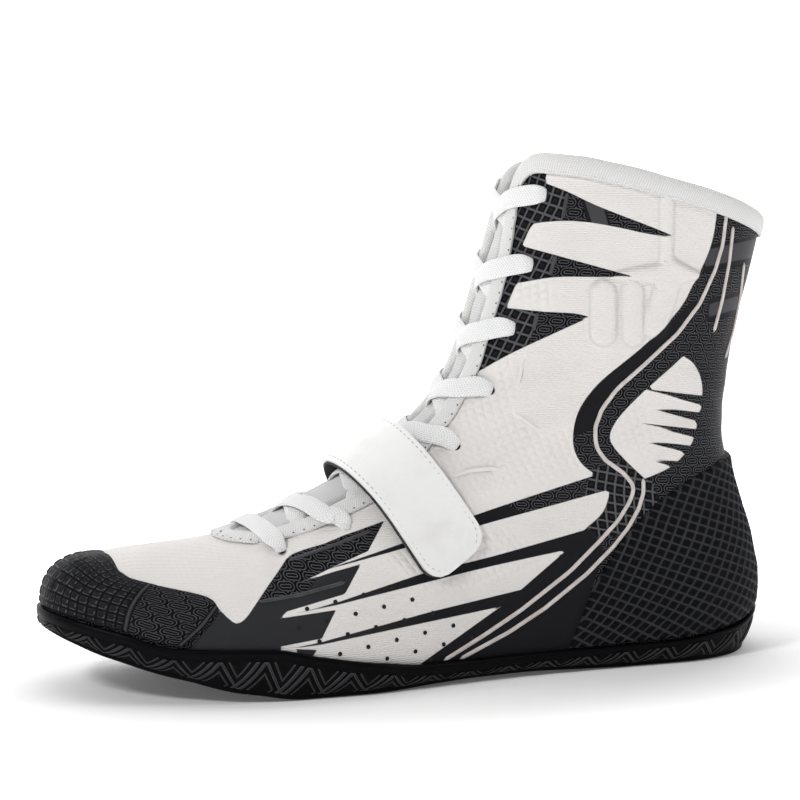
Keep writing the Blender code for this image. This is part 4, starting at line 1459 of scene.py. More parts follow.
@dataclass
class Upper:
    """The hollow upper with its print, moulded pads and soft creases."""

    last: Last
    art: Artwork
    columns: int = 290
    rows: int = 124
    inner_rows: int = 9
    swell: float = 1.5
    swell_start: float = -2.2
    swell_run: float = 3.2
    shoulder: float = 0.45
    finish: PrintedKnit = PrintedKnit()

    def crease(self, places: Points) -> Points:
        """Height that the soft folds add.

        Args:
            places: along and height of each place.

        Returns:
            Heights in millimetres, negative in a fold.
        """
        total = np.zeros(places.shape[:-1])
        for fold in CREASES:
            turn = math.radians(fold.turn)
            away = places - np.array([fold.along, fold.height])
            run = away[..., 0] * math.cos(turn) + away[..., 1] * math.sin(turn)
            aside = away[..., 1] * math.cos(turn) - away[..., 0] * math.sin(turn)
            fade = np.exp(-((run / (0.5 * fold.length)) ** 4))
            trough = np.exp(-((aside / (0.5 * fold.breadth)) ** 2))
            ridge = np.exp(-(((np.abs(aside) - fold.breadth) / (0.6 * fold.breadth)) ** 2))
            shoulder = self.shoulder if fold.depth > 0.0 else 0.0
            total += fold.depth * fade * (shoulder * ridge - trough)
        return total

    def half(self, side: Side) -> dict[str, Points]:
        """One side of the upper.

        Args:
            side: the side.

        Returns:
            Its grid, its lift and the values that the finish reads, by name.
        """
        places = self.last.upper_places(side, self.columns, self.rows)
        pixels = self.art.view.project(self.last.on(Side.LATERAL, places.reshape(-1, 2)))
        told = {name: away.reshape(places.shape[:2]) for name, away in self.art.distances(pixels).items()}
        girth = self.last.girth(side, places)
        told["chart"] = np.stack([girth, places[..., 1], 0.0 * girth], axis=-1)
        swell = 1.0 - smoothstep((told["mould"] - self.swell_start) / self.swell_run)
        told["lift"] = self.swell * swell + self.crease(places)
        told["grid"] = self.last.sheet(side, places, (0, -1))
        return told

    def build(self) -> Item:
        """Models the shell: outer skin, top edge and inner skin as one closed wall."""
        lateral, medial = (self.half(side) for side in Side)
        medial["chart"][..., 0] *= lateral["chart"][-1:, :, 0] / np.maximum(medial["chart"][-1:, :, 0], 1.0)
        loops = {name: ring(lateral[name], medial[name]) for name in lateral}
        outer = bridged(loops.pop("grid"), self.columns)
        normal = grid_normals(outer, True)
        inner = outer - WALL * normal
        outer = outer + loops.pop("lift")[..., None] * normal
        back = np.rint(np.linspace(self.rows, 0, self.inner_rows)).astype(int)
        grid = np.concatenate([outer, inner[:, back], outer[:, :1]], axis=1)
        within = {name: values[:, back] for name, values in loops.items()}
        within["chart"] = within["chart"] + UP
        carried = {}
        for name, values in loops.items():
            carried[name] = closed(np.concatenate([values, within[name], values[:, :1]], axis=1))
        return Bench.shell("upper_shell", closed(grid), carried)

    def dress(self) -> list[Item]:
        """Builds and finishes the piece."""
        return [Bench.finish(self.build(), self.finish.material(), "white_knit", "upper")]


@dataclass
class Overlay:
    """Sizes that the toe cap and the heel counter share."""

    last: Last
    edge: float = 0.8
    clear: float = 0.35
    thick: float = 1.1
    taper: float = 3.0
    side_taper: float = 3.0
    lip: float = 0.2
    sunk: float = 0.3

    def wrap(self, name: str, grid: Points, relief: Points, carried: dict[str, Points]) -> Item:
        """A closed moulded skin over a grid.

        Args:
            name: the piece's name.
            grid: places on the upper's outer surface.
            relief: height of the moulding at each place, from 0 to its full height.
            carried: values at each place for the finish.

        Returns:
            The object.
        """
        normal = grid_normals(grid, False)
        columns, rows = grid.shape[:2]
        away = np.minimum(np.arange(columns), np.arange(columns)[::-1])[:, None]
        level = np.arange(rows)[None, :]
        sides = np.minimum(away, level) / self.side_taper
        fade = np.clip(np.minimum(sides, (rows - 1 - level) / self.taper), 0.0, 1.0)
        proud = self.lip + (self.clear + self.thick + relief) * np.sqrt(fade)
        shell = capped(folded(grid + proud[..., None] * normal, grid - self.sunk * normal))
        told = {key: widened(folded(values, values)) for key, values in carried.items()}
        return Bench.shell(name, shell, told)


@dataclass
class ToeCap(Overlay):
    """The black moulded cap over the toe: square pads in front, chain links behind a ridge."""

    columns: int = 150
    rows: int = 96
    pitch: float = 4.1
    groove: float = 1.1
    height: float = 0.42
    ridge_along: float = 0.36
    ridge_width: float = 1.3
    ridge_lean: float = 0.25
    rear_bar: float = 2.2
    rear_height: float = 26.0
    front_height: float = 36.0
    link: tuple[float, float] = (9.0, 4.2)
    taper: float = 26.0

    def places(self, side: Side) -> tuple[Points, Points]:
        """One side's places and the run of its pattern.

        Args:
            side: the side.

        Returns:
            Side-view places, and by place the run from the cap's rear and the height over the rim.
        """
        rear = smooth_line(CAP_REAR, FINE)
        rim = self.last.foot_line(side, 1.0, self.edge)
        rear[0, 1] = SOLE.at("rim_" + side.column, rear[0, 0]) + self.edge
        line = np.vstack([rear[:1], rim[rim[:, 0] < rear[0, 0]]])
        run = arc_length(self.last.on(side, line))
        bottom = respace(line, self.columns + 1, run)
        edge = smooth_line(CAP_TOP, FINE)
        edge[-1, 0] = self.last.ridge_along(edge[-1, 1])
        top = respace(edge, self.columns + 1, arc_length(self.last.on(side, edge)))
        left = respace(rear, self.rows + 1)
        right = respace(self.last.front_line(bottom[-1, 1], top[-1, 1]), self.rows + 1)
        places = coons(bottom, top, left, right)
        along = np.linspace(0.0, run[-1], self.columns + 1)[:, None]
        tall = np.linspace(self.rear_height, self.front_height, self.columns + 1)[:, None]
        up = np.linspace(0.0, 1.0, self.rows + 1)[None, :] * tall
        return places, np.stack(np.broadcast_arrays(along, up), axis=-1)

    def relief(self, pattern: Points) -> tuple[Points, dict[str, Points]]:
        """The moulding by run from the rear edge and height over the rim.

        Args:
            pattern: run and height of each place.

        Returns:
            The moulding's height, and the values that the finish reads, a painted highlight among them.
        """
        run, up = pattern[..., 0], pattern[..., 1]
        divide = self.ridge_along * run.max() + self.ridge_lean * up
        count = round((1.0 - self.ridge_along) * run.max() / self.pitch) + 0.5
        one = ((run - divide) / (run.max() - divide) * count) % 1.0 - 0.5
        two = (up / self.pitch + 0.25) % 1.0 - 0.5
        edge = 0.5 - self.groove / (2.0 * self.pitch)
        off = np.maximum(np.abs(one), np.abs(two)) - edge
        pads = 1.0 - smoothstep((off + 0.05) / 0.1)
        # painted highlight: a bright line along each pad's edge, stronger on one side of each pad
        rim = np.exp(-(((off + 0.05) / 0.06) ** 2)) * (0.4 + 0.6 * (np.minimum(one, two) < -0.3))
        away = np.minimum(np.abs(run - divide), np.abs(run - self.rear_bar))
        bars = np.exp(-((away / (0.5 * self.ridge_width)) ** 4))
        clear = smoothstep((away - 0.7 * self.ridge_width) / 0.6)
        behind = run < divide
        top = 1.0 - smoothstep((up / up.max(axis=1, keepdims=True) - 0.6) / 0.3)
        height = self.height * np.maximum(np.where(behind, 0.0, pads * clear), 0.8 * bars) * top
        # painted highlight on the pads, their edges and the ridges, which the finish reads as raised
        shine = np.maximum(np.where(behind, 0.0, np.maximum(0.2 * pads, rim) * clear), 0.6 * bars)
        return height, {"raised": shine, "chart": np.stack([run, up, behind * clear], axis=-1)}

    def dress(self) -> list[Item]:
        """Builds and finishes the piece."""
        halves = []
        for side in Side:
            places, pattern = self.places(side)
            relief, carried = self.relief(pattern)
            halves.append({"grid": self.last.sheet(side, places, (-1,)), "relief": relief, **carried})
        whole = {key: np.concatenate([halves[0][key], halves[1][key][-2::-1]]) for key in halves[0]}
        grid = bridged(whole.pop("grid"), self.columns)
        item = self.wrap("toe_cap_shell", grid, whole.pop("relief"), whole)
        finish = MouldedRubber("moulded_cap", gloss=0.5, link=self.link)
        return [Bench.finish(item, finish.material(), "black_moulding", "toe_cap")]


@dataclass
class HeelCounter(Overlay):
    """The black moulded counter around the heel with a slanting net of thin ridges."""

    columns: int = 190
    rows: int = 112
    crown: float = 1.5
    pitch: float = 3.7
    line: float = 0.62
    height: float = 0.6
    fall: float = -0.42
    climb: float = 1.25

    def places(self, side: Side) -> Points:
        """One side's places.

        Args:
            side: the side.

        Returns:
            Side-view places by column from heel to front, and by row.
        """
        front = smooth_line(COUNTER_FRONT, FINE)
        rim = self.last.foot_line(side, 1.0, self.edge)
        front[0, 1] = SOLE.at("rim_" + side.column, front[0, 0]) + self.edge
        line = np.vstack([rim[rim[:, 0] > front[0, 0]], front[:1]])
        bottom = respace(line, self.columns + 1, arc_length(self.last.on(side, line)))
        slope = smooth_line(COUNTER_TOP, FINE)[::-1]
        level = slope[0, 1] + self.crown
        back_point = np.array([float(HEEL_BACK.at("along", level)), level])
        reach = end_to_end(0.0, 1.0, FINE)[:-1, None]
        edge = np.vstack([back_point * (1 - reach) + slope[0] * reach, slope])
        top = respace(edge, self.columns + 1, arc_length(self.last.on(side, edge)))
        height = np.linspace(bottom[0, 1], top[0, 1], FINE)
        back = np.stack([HEEL_BACK.at("along", height), height], axis=-1)
        return coons(bottom, top, respace(back, self.rows + 1), respace(front, self.rows + 1))

    def relief(self, side: Side, places: Points) -> Points:
        """Height of the net.

        Args:
            side: the side.
            places: along and height of each place.

        Returns:
            Heights there.
        """
        run = self.last.girth(side, places)
        up = places[..., 1]
        net = np.zeros_like(up)
        for slope in (self.fall, self.climb):
            across = (up + slope * run) / math.hypot(1.0, slope)
            away = np.abs((across / self.pitch) % 1.0 - 0.5) * self.pitch
            net = np.maximum(net, 1.0 - smoothstep((away - 0.3 * self.line) / (0.7 * self.line)))
        return self.height * net

    def dress(self) -> list[Item]:
        """Builds and finishes the piece."""
        grids, reliefs = [], []
        for side in Side:
            places = self.places(side)
            grids.append(self.last.sheet(side, places, (0,)))
            reliefs.append(self.relief(side, places))
        grid = np.concatenate([grids[1][:0:-1], grids[0]])
        relief = np.concatenate([reliefs[1][:0:-1], reliefs[0]])
        # the net's ridges get a painted highlight from the finish
        item = self.wrap("heel_counter_shell", grid, relief, {"raised": relief / self.height})
        finish = MouldedRubber("moulded_counter", worn=(0.045, 0.046, 0.052), gloss=0.5)
        return [Bench.finish(item, finish.material(), "black_moulding", "heel_counter")]


@dataclass
class Outsole:
    """The rubber cup: tread, wall with leaning ribs, lip and floor."""

    last: Last
    columns: int = 620
    wall_rows: int = 34
    clear: float = 0.4
    wall: float = 2.3
    tread_inset: float = 2.0
    edge_round: float = 1.8
    lip_height: float = 4.0
    lip_heel: float = 2.0
    lip_step: float = 0.7
    lip_fall: tuple[float, float] = (150.0, 235.0)
    tread_rows: int = 7
    end_columns: int = 12
    rib_height: float = 0.55
    angle: float = 55.0
    finish: RibbedRubber = RibbedRubber()

    def ribs(self, run: Points, share: float) -> Points:
        """Height of the wall's ribs: leaning pairs, and a lower zigzag between them.

        Args:
            run: places around the wall.
            share: 0 at the wall's foot and 1 under the lip.

        Returns:
            Heights there.
        """
        turns, pitch = run / self.finish.pitch, self.finish.pitch
        lean = ((turns + 0.5 * share) % 1.0 - 0.5) * pitch
        back = ((turns - 0.5 * share) % 1.0 - 0.5) * pitch
        paired = np.minimum(np.abs(lean), np.abs(lean - self.finish.pair))
        pairs = 1.0 - smoothstep((paired - 0.3) / 1.0)
        zigzag = 1.0 - smoothstep((np.abs(back) - 0.2) / 0.9)
        fade = smoothstep(np.array(share / 0.14)) * smoothstep(np.array((1.0 - share) / 0.1))
        return self.rib_height * np.maximum(pairs, 0.75 * zigzag) * fade

    def build(self) -> Item:
        """Models the cup as one closed body, in rings from the tread's middle to the floor's middle."""
        loops = [self.last.foot_loop(share, 0.0, self.columns) for share in (0.0, 0.5, 1.0)]
        (floor, floor_out), (waist, waist_out), (rim, rim_out) = loops
        bottom = SOLE.at("bottom", floor[:, 0] + LENGTH / 2)
        full = self.clear + self.wall
        lip_height = np.interp(rim[:, 0] + LENGTH / 2, self.lip_fall, (self.lip_height, self.lip_heel))

        def at(points: Points, heights: Points) -> Points:
            """Points moved to other heights."""
            return np.stack([points[:, 0], points[:, 1], heights], axis=-1)

        tread = at(floor - self.tread_inset * floor_out, bottom)
        low = at(floor + (full - self.edge_round) * floor_out, bottom + self.edge_round)
        lip_foot = rim[:, 2] - lip_height
        middle = at(0.5 * (floor + rim) + (full - self.lip_step) * rim_out, 0.5 * (bottom + lip_foot))
        high = at(rim + (full - self.lip_step) * rim_out, lip_foot)
        spine = self.spine(tread, "bottom")
        rows = [spine + (tread - spine) * share for share in np.linspace(0.0, 1.0, self.tread_rows)]
        corner = floor + (full - 0.6 * self.edge_round - 0.6) * floor_out
        rows.append(at(corner, bottom + 0.25 * self.edge_round))
        charted = [0.0 * tread] * len(rows)
        run = arc_length(closed(rim))
        run = run[:-1] * round(run[-1] / self.finish.pitch) * self.finish.pitch / run[-1]
        for share in np.linspace(0.0, 1.0, self.wall_rows):
            ends = low * (1 - share) * (1 - 2 * share) + high * share * (2 * share - 1)
            rows.append(ends + 4 * middle * share * (1 - share) + self.ribs(run, share)[:, None] * rim_out)
            charted.append(np.stack([run, np.full_like(run, share), 0.0 * run], axis=-1))
        lip = [
            (full - 0.35, lip_height - 0.2),
            (full, lip_height - self.lip_step),
            (full + 0.1, 0.5 * lip_height - 0.3),
            (full, 0.35),
            (full - 0.5, 0.0),
            (self.clear + 0.3, 0.0),
            (self.clear, 0.2),
        ]
        rows += [at(rim + out * rim_out, rim[:, 2] - drop) for out, drop in lip]
        rows += [waist + self.clear * waist_out, floor + self.clear * floor_out]
        rows.append(self.spine(rows[-1], "floor"))
        charted += [0.0 * rim] * (len(rows) - len(charted))
        carried = {"chart": closed(np.stack(charted, axis=1))}
        return Bench.shell("outsole_cup", closed(np.stack(rows, axis=1)), carried, self.angle)

    def spine(self, loop: Points, level: str) -> Points:
        """The middle line of a loop, held at both ends of the foot.

        Args:
            loop: a loop around the foot.
            level: the sole's column that gives its height.

        Returns:
            One point for each of the loop's points.
        """
        middle = middle_line(loop)
        for end, inward in ((0, 1), (len(loop) // 2, -1)):
            near = end + inward * self.end_columns
            for shift in range(-self.end_columns, self.end_columns + 1):
                middle[(end + shift) % len(loop)] = middle[near]
        middle[:, 2] = SOLE.at(level, middle[:, 0] + LENGTH / 2)
        return middle

    def dress(self) -> list[Item]:
        """Builds and finishes the piece."""
        return [Bench.finish(self.build(), self.finish.material(), "black_rubber", "outsole")]


@dataclass
class Insole:
    """The sock liner on the cup's floor."""

    last: Last
    columns: int = 160
    rows: int = 14
    thick: float = 3.4
    clear: float = 0.5
    edge_round: float = 0.4
    top_edge: float = 0.985
    angle: float = 50.0

    def dress(self) -> list[Item]:
        """Builds and finishes the piece."""
        floor, out = self.last.foot_loop(0.0, GAP, self.columns)
        edge = floor - (WALL + self.clear) * out
        middle = middle_line(edge)
        rows = [middle + (edge - middle) * share for share in np.linspace(0.0, 1.0, self.rows)]
        rows.append(edge + self.edge_round * self.thick * UP)
        top = [middle + (edge - middle) * share for share in np.linspace(self.top_edge, 0.0, self.rows)]
        rows += [row + self.thick * UP for row in top]
        grid = closed(np.stack(rows, axis=1))
        item = Bench.shell("insole_liner", grid, {"weave": grid * (1.0 - UP)}, self.angle)
        cloth = WovenCloth("liner_cloth", (0.62, 0.62, 0.63), (0.42, 0.42, 0.43), 1.6, 0.1, 0.0)
        return [Bench.finish(item, cloth.material(), "grey_liner", "insole")]


@dataclass
class Binding:
    """The tape folded over the collar and throat edge, with its stitches and pinholes."""

    last: Last
    columns: int = 420
    rows: int = 40
    thick: float = 0.9
    clear: float = 0.45
    width: float = 5.8
    inner_width: float = 5.0
    least_slant: float = 0.6
    puff: float = 0.22
    row_breadth: float = 1.1
    stitch_line: float = 0.84
    stitch_pitch: float = 3.0
    hole_pitch: float = 4.2
    stitch: Triple = (2.1, 0.55, 0.5)
    pinhole: Triple = (0.42, 0.34, 0.6)
    stitch_proud: float = 0.05
    pinhole_proud: float = 0.12
    collar_height: float = 188.0
    collar_along: float = 55.0

    def frame(self) -> dict[str, Points]:
        """The upper's outer grid with its normals, and the directions beyond its top edge."""
        sides = []
        for side in Side:
            places = self.last.upper_places(side, self.columns, self.rows)
            sides.append(self.last.sheet(side, places, (0, -1)))
        outer = ring(*sides)
        normal = grid_normals(outer, True)
        edge = outer[:, -1]
        along = unit(np.roll(edge, -1, axis=0) - np.roll(edge, 1, axis=0))
        beyond = np.cross(along, normal[:, -1])
        beyond *= np.sign(np.sum(beyond * (edge - outer[:, -2]), axis=1))[:, None]
        return {"outer": outer, "normal": normal, "beyond": beyond}

    def down(self, frame: dict[str, Points], grid: Points, width: float) -> tuple[Points, Points]:
        """Points and normals at a distance from the top edge, measured square to the edge.

        Args:
            frame: the upper's grid and directions.
            grid: the face that the points lie on.
            width: the distance.

        Returns:
            Points and unit normals, column by column.
        """
        spots, normals = [], []
        for column in range(len(grid)):
            line = grid[column, ::-1]
            length = arc_length(line)
            slant = -((line[1] - line[0]) @ frame["beyond"][column]) / length[1]
            at = np.array([width / max(slant, self.least_slant)])
            spots.append(read_line(line, length, at)[0])
            normals.append(read_line(frame["normal"][column, ::-1], length, at)[0])
        return np.array(spots), unit(np.array(normals))

    def path(self, frame: dict[str, Points], off: float) -> Points:
        """The tape's section.

        Args:
            frame: the upper's grid and directions.
            off: the section's distance from the upper.

        Returns:
            Rows from outside to inside, column by column.
        """
        outer, edge_normal = frame["outer"], frame["normal"][:, -1]
        inner = outer - WALL * frame["normal"]
        rows = []
        for share in (1.0, 0.94, 0.8, 0.6, 0.4, 0.2, 0.08):
            spot, out = self.down(frame, outer, share * self.width)
            puff = self.puff * math.sin(math.pi * min(share * 1.15, 1.0))
            rows.append(spot + (off + puff) * out)
        top = outer[:, -1] - 0.5 * WALL * edge_normal
        for turn in np.linspace(0.0, math.pi, 7):
            reach = math.cos(turn) * edge_normal + math.sin(turn) * frame["beyond"]
            rows.append(top + (0.5 * WALL + off) * reach)
        for share in (0.3, 0.65, 1.0):
            spot, out = self.down(frame, inner, share * self.inner_width)
            rows.append(spot - off * out)
        return np.stack(rows, axis=1)

    def build(self) -> tuple[Item, Points, Points]:
        """Models the tape; also returns the line of its stitches and that line's normals."""
        frame = self.frame()
        proud = self.clear + self.thick
        outside = self.path(frame, proud)
        grid = folded(outside, self.path(frame, self.clear))
        run = arc_length(closed(frame["outer"][:, -1]))[:-1, None]
        breadth = self.row_breadth * np.arange(outside.shape[1])[None]
        weave = np.stack(np.broadcast_arrays(run, folded(breadth, breadth), 0.0 * run), axis=-1)
        item = Bench.shell("binding_tape", closed(grid), {"weave": closed(weave)})
        line, out = self.down(frame, frame["outer"], self.stitch_line * self.width)
        return item, line + proud * out, out

    def places(self, line: Points, normal: Points, pitch: float, keep: Points) -> list[Points]:
        """Even places along the loop where a condition holds, with their directions and normals."""
        looped = closed(line)
        at, *found = even_places(looped, closed(normal), pitch)
        kept = np.interp(at, arc_length(looped), closed(keep.astype(float))) > 0.5
        return [values[kept] for values in found]

    def dress(self) -> list[Item]:
        """Builds and finishes the tape, its stitches and its pinholes."""
        tape, line, out = self.build()
        cloth = WovenCloth("binding_cloth", (0.77, 0.765, 0.76), (0.58, 0.575, 0.57), 1.0, 0.14, 0.4)
        made = [Bench.finish(tape, cloth.material(), "white_tape", "binding")]
        collar = (line[:, 2] > self.collar_height) | (line[:, 0] > self.collar_along)
        spots, along, normal = self.places(line, out, self.stitch_pitch, collar)
        frames = frames_on(spots + self.stitch_proud * normal, along, normal, self.stitch)
        thread = PlainFinish("white_thread", (0.8, 0.8, 0.8), (0.7, 0.7, 0.7))
        stitches = Bench.scatter("binding_stitches", Bench.stitch(), frames)
        made.append(Bench.finish(stitches, thread.material(), "white_tape"))
        spots, along, normal = self.places(line, out, self.hole_pitch, ~collar)
        frames = frames_on(spots + self.pinhole_proud * normal, along, normal, self.pinhole)
        holes = Bench.scatter("binding_pinholes", Bench.disc(8), frames)
        shadow = PlainFinish("pinhole_shadow", (0.05, 0.05, 0.055), (0.12, 0.12, 0.12), 0.9)
        made.append(Bench.finish(holes, shadow.material(), "white_tape"))
        return made


@dataclass
class Tongue:
    """The soft mesh tongue under the throat."""

    last: Last
    start: float = 74.0
    end: float = 281.0
    half_width: float = 23.0
    thick: float = 3.0
    under: float = 5.6
    proud: float = 0.9
    corner: float = 16.0
    tip: float = 0.45
    bend_start: float = 273.0
    bend: float = 7.0
    edge: float = 6.0
    slope: float = 5.0
    rows: int = 220
    columns: int = 48
    quilt: float = 0.12
    quilt_pitch: float = 17.0

    def dress(self) -> list[Item]:
        """Builds and finishes the piece."""
        reach = np.linspace(self.start, self.end, self.rows)[None, :]
        share = np.linspace(-1.0, 1.0, self.columns + 1)[:, None]
        from_end = np.clip((self.end - reach) / self.corner, 0.0, 1.0)
        half = self.half_width * (self.tip + (1.0 - self.tip) * np.sqrt(1.0 - (1.0 - from_end) ** 2))
        across = share * half
        grid, normal = self.last.instep_frame(reach, across)
        open_share = 1.0 - smoothstep((np.abs(across) - self.last.throat_gap(reach) + self.edge) / self.slope)
        depth = self.under - (self.under - self.proud) * open_share
        quilt = self.quilt * np.sin(reach * 2.0 * math.pi / self.quilt_pitch) * open_share
        bend = np.maximum(reach - self.bend_start, 0.0) ** 2 / (2.0 * self.bend)
        outer = grid - (depth - quilt + bend)[..., None] * normal
        inner = grid - (self.under + self.thick + bend)[..., None] * normal
        shell = capped(folded(outer, inner))
        breadth = widened(folded(across, across))
        weave = np.stack(np.broadcast_arrays(folded(reach, reach), breadth, 0.0 * breadth), axis=-1)
        item = Bench.shell("tongue_mesh", shell, {"weave": weave})
        cloth = WovenCloth("tongue_cloth", (0.64, 0.635, 0.635), (0.52, 0.52, 0.53), 1.0, 0.1, 0.0)
        Bench.finish(item, cloth.material(), "grey_mesh", "tongue")
        return [item]


@dataclass
class Strap:
    """The closing strap: a white leather face on a black backing, stitched near its edge."""

    last: Last
    reach: float = 152.0
    half_width: float = 14.3
    lateral: float = 43.8
    medial: float = 66.0
    corner: float = 8.0
    tip: float = 0.5
    clear: float = 0.5
    lift: float = 4.8
    lift_start: float = 0.4
    lift_end: float = 0.95
    face: float = 1.6
    backing: float = 0.8
    peep: float = 0.9
    bulge: float = 0.35
    columns: int = 90
    rows: int = 28
    probe: float = 0.9
    ridge_share: float = 0.2
    ridge_normal: Triple = (-0.53, 0.0, 0.85)
    bevel_angle: float = 50.0
    angle: float = 40.0
    stitch_root: float = 0.94
    stitch_inset: float = 1.8
    stitch_pitch: float = 2.5
    stitch_proud: float = 0.12
    stitch: Triple = (1.7, 0.42, 0.4)

    def surface(self, turn: Points, share: Points, inset: float) -> tuple[Points, Points]:
        """The strap's underside by its place along (-1 outer end to 1 inner root) and across (-1 to 1).

        Args:
            turn: place along.
            share: place across.
            inset: how far the outline is drawn in.

        Returns:
            Points and outward normals.
        """
        full = np.where(turn < 0.0, self.lateral - inset, self.medial)
        depth = full * turn**2
        to_end = np.clip((self.lateral - inset - depth) / (self.corner - 0.5 * inset), 0.0, 1.0)
        rounded = self.tip + (1.0 - self.tip) * np.sqrt(1.0 - (1.0 - to_end) ** 2)
        half = (self.half_width - inset) * np.where(turn < 0.0, rounded, 1.0)
        point, _ = self.last.ridge_frame(self.reach + half * share)
        _, inward = self.last.ridge_frame(np.array(self.reach))
        place = point + inward * depth[..., None]
        on = [self.last.on(side, place) for side in Side]
        spot = np.where(turn[..., None] < 0.0, on[0], on[1])
        facing = [self.last.facing(side, place + inward * self.probe) for side in Side]
        normal = np.where(turn[..., None] < 0.0, facing[0], facing[1])
        over = np.exp(-((turn / self.ridge_share) ** 2))[..., None]
        normal = unit(normal * (1.0 - over) + np.array(self.ridge_normal) * over)
        falling = smoothstep((np.abs(turn) - self.lift_start) / (self.lift_end - self.lift_start))
        lift = self.clear + self.lift * (1.0 - falling)
        return spot + lift[..., None] * normal, normal

    def layer(self, name: str, low: float, thick: float, inset: float, bevel: float, bulge: float) -> Item:
        """One layer of the strap.

        Args:
            name: the piece's name.
            low: its height over the strap's underside.
            thick: its thickness.
            inset: how far its outline is drawn in.
            bevel: the breadth of its rounded edges.
            bulge: how far its middle swells.

        Returns:
            The object.
        """
        along, across = np.linspace(-1.0, 1.0, 2 * self.columns + 1), np.linspace(-1.0, 1.0, self.rows + 1)
        turn, share = np.meshgrid(along, across, indexing="ij")
        spot, normal = self.surface(turn, share, inset)
        height = low + thick + bulge * (1.0 - share**4)
        item = Bench.grid(name, spot + height[..., None] * normal)
        inward = -1.0 if self.faces_out(item, normal) else 1.0
        Bench.apply(item, "SOLIDIFY", thickness=thick * MM, offset=inward)
        Bench.close(item)
        limit = {"limit_method": "ANGLE", "angle_limit": math.radians(self.bevel_angle)}
        Bench.apply(item, "BEVEL", width=bevel * MM, segments=2, **limit)
        return Bench.smooth(item, self.angle)

    @staticmethod
    def faces_out(item: Item, normal: Points) -> bool:
        """Whether a grid's faces point the same way as the strap's normals."""
        middle = item.data.polygons[len(item.data.polygons) // 2]
        columns, rows = normal.shape[:2]
        return Vector(middle.normal).dot(Vector(normal[columns // 2, rows // 2])) > 0.0

    def dress(self) -> list[Item]:
        """Builds and finishes the strap's layers and stitches."""
        face = self.layer("strap_face", self.backing, self.face, 0.0, 0.45, self.bulge)
        behind = replace(self, reach=self.reach - self.peep)
        back = behind.layer("strap_backing", 0.0, self.backing, 0.35, 0.12, 0.0)
        made = [Bench.finish(face, GrainedLeather().material(), "white_leather", "strap")]
        fleece = PlainFinish("strap_fleece", (0.02, 0.02, 0.022), (0.045, 0.045, 0.048), 0.9)
        made.append(Bench.finish(back, fleece.material(), "white_leather"))
        out_run, tip_run = np.linspace(self.stitch_root, -1.0, 400), np.linspace(-1.0, 1.0, 60)
        turn = np.concatenate([out_run, np.full_like(tip_run, -1.0), out_run[::-1]])
        share = np.concatenate([np.full_like(out_run, -1.0), tip_run, np.full_like(out_run, 1.0)])
        spot, normal = self.surface(turn, share, self.stitch_inset)
        _, place, along, out = even_places(spot, normal, self.stitch_pitch)
        place = place + (self.backing + self.face + self.stitch_proud) * out
        thread = PlainFinish("strap_thread", (0.55, 0.55, 0.55), (0.42, 0.42, 0.42))
        frames = frames_on(place, along, out, self.stitch)
        stitches = Bench.scatter("strap_stitches", Bench.stitch(), frames)
        made.append(Bench.finish(stitches, thread.material(), "white_leather"))
        return made


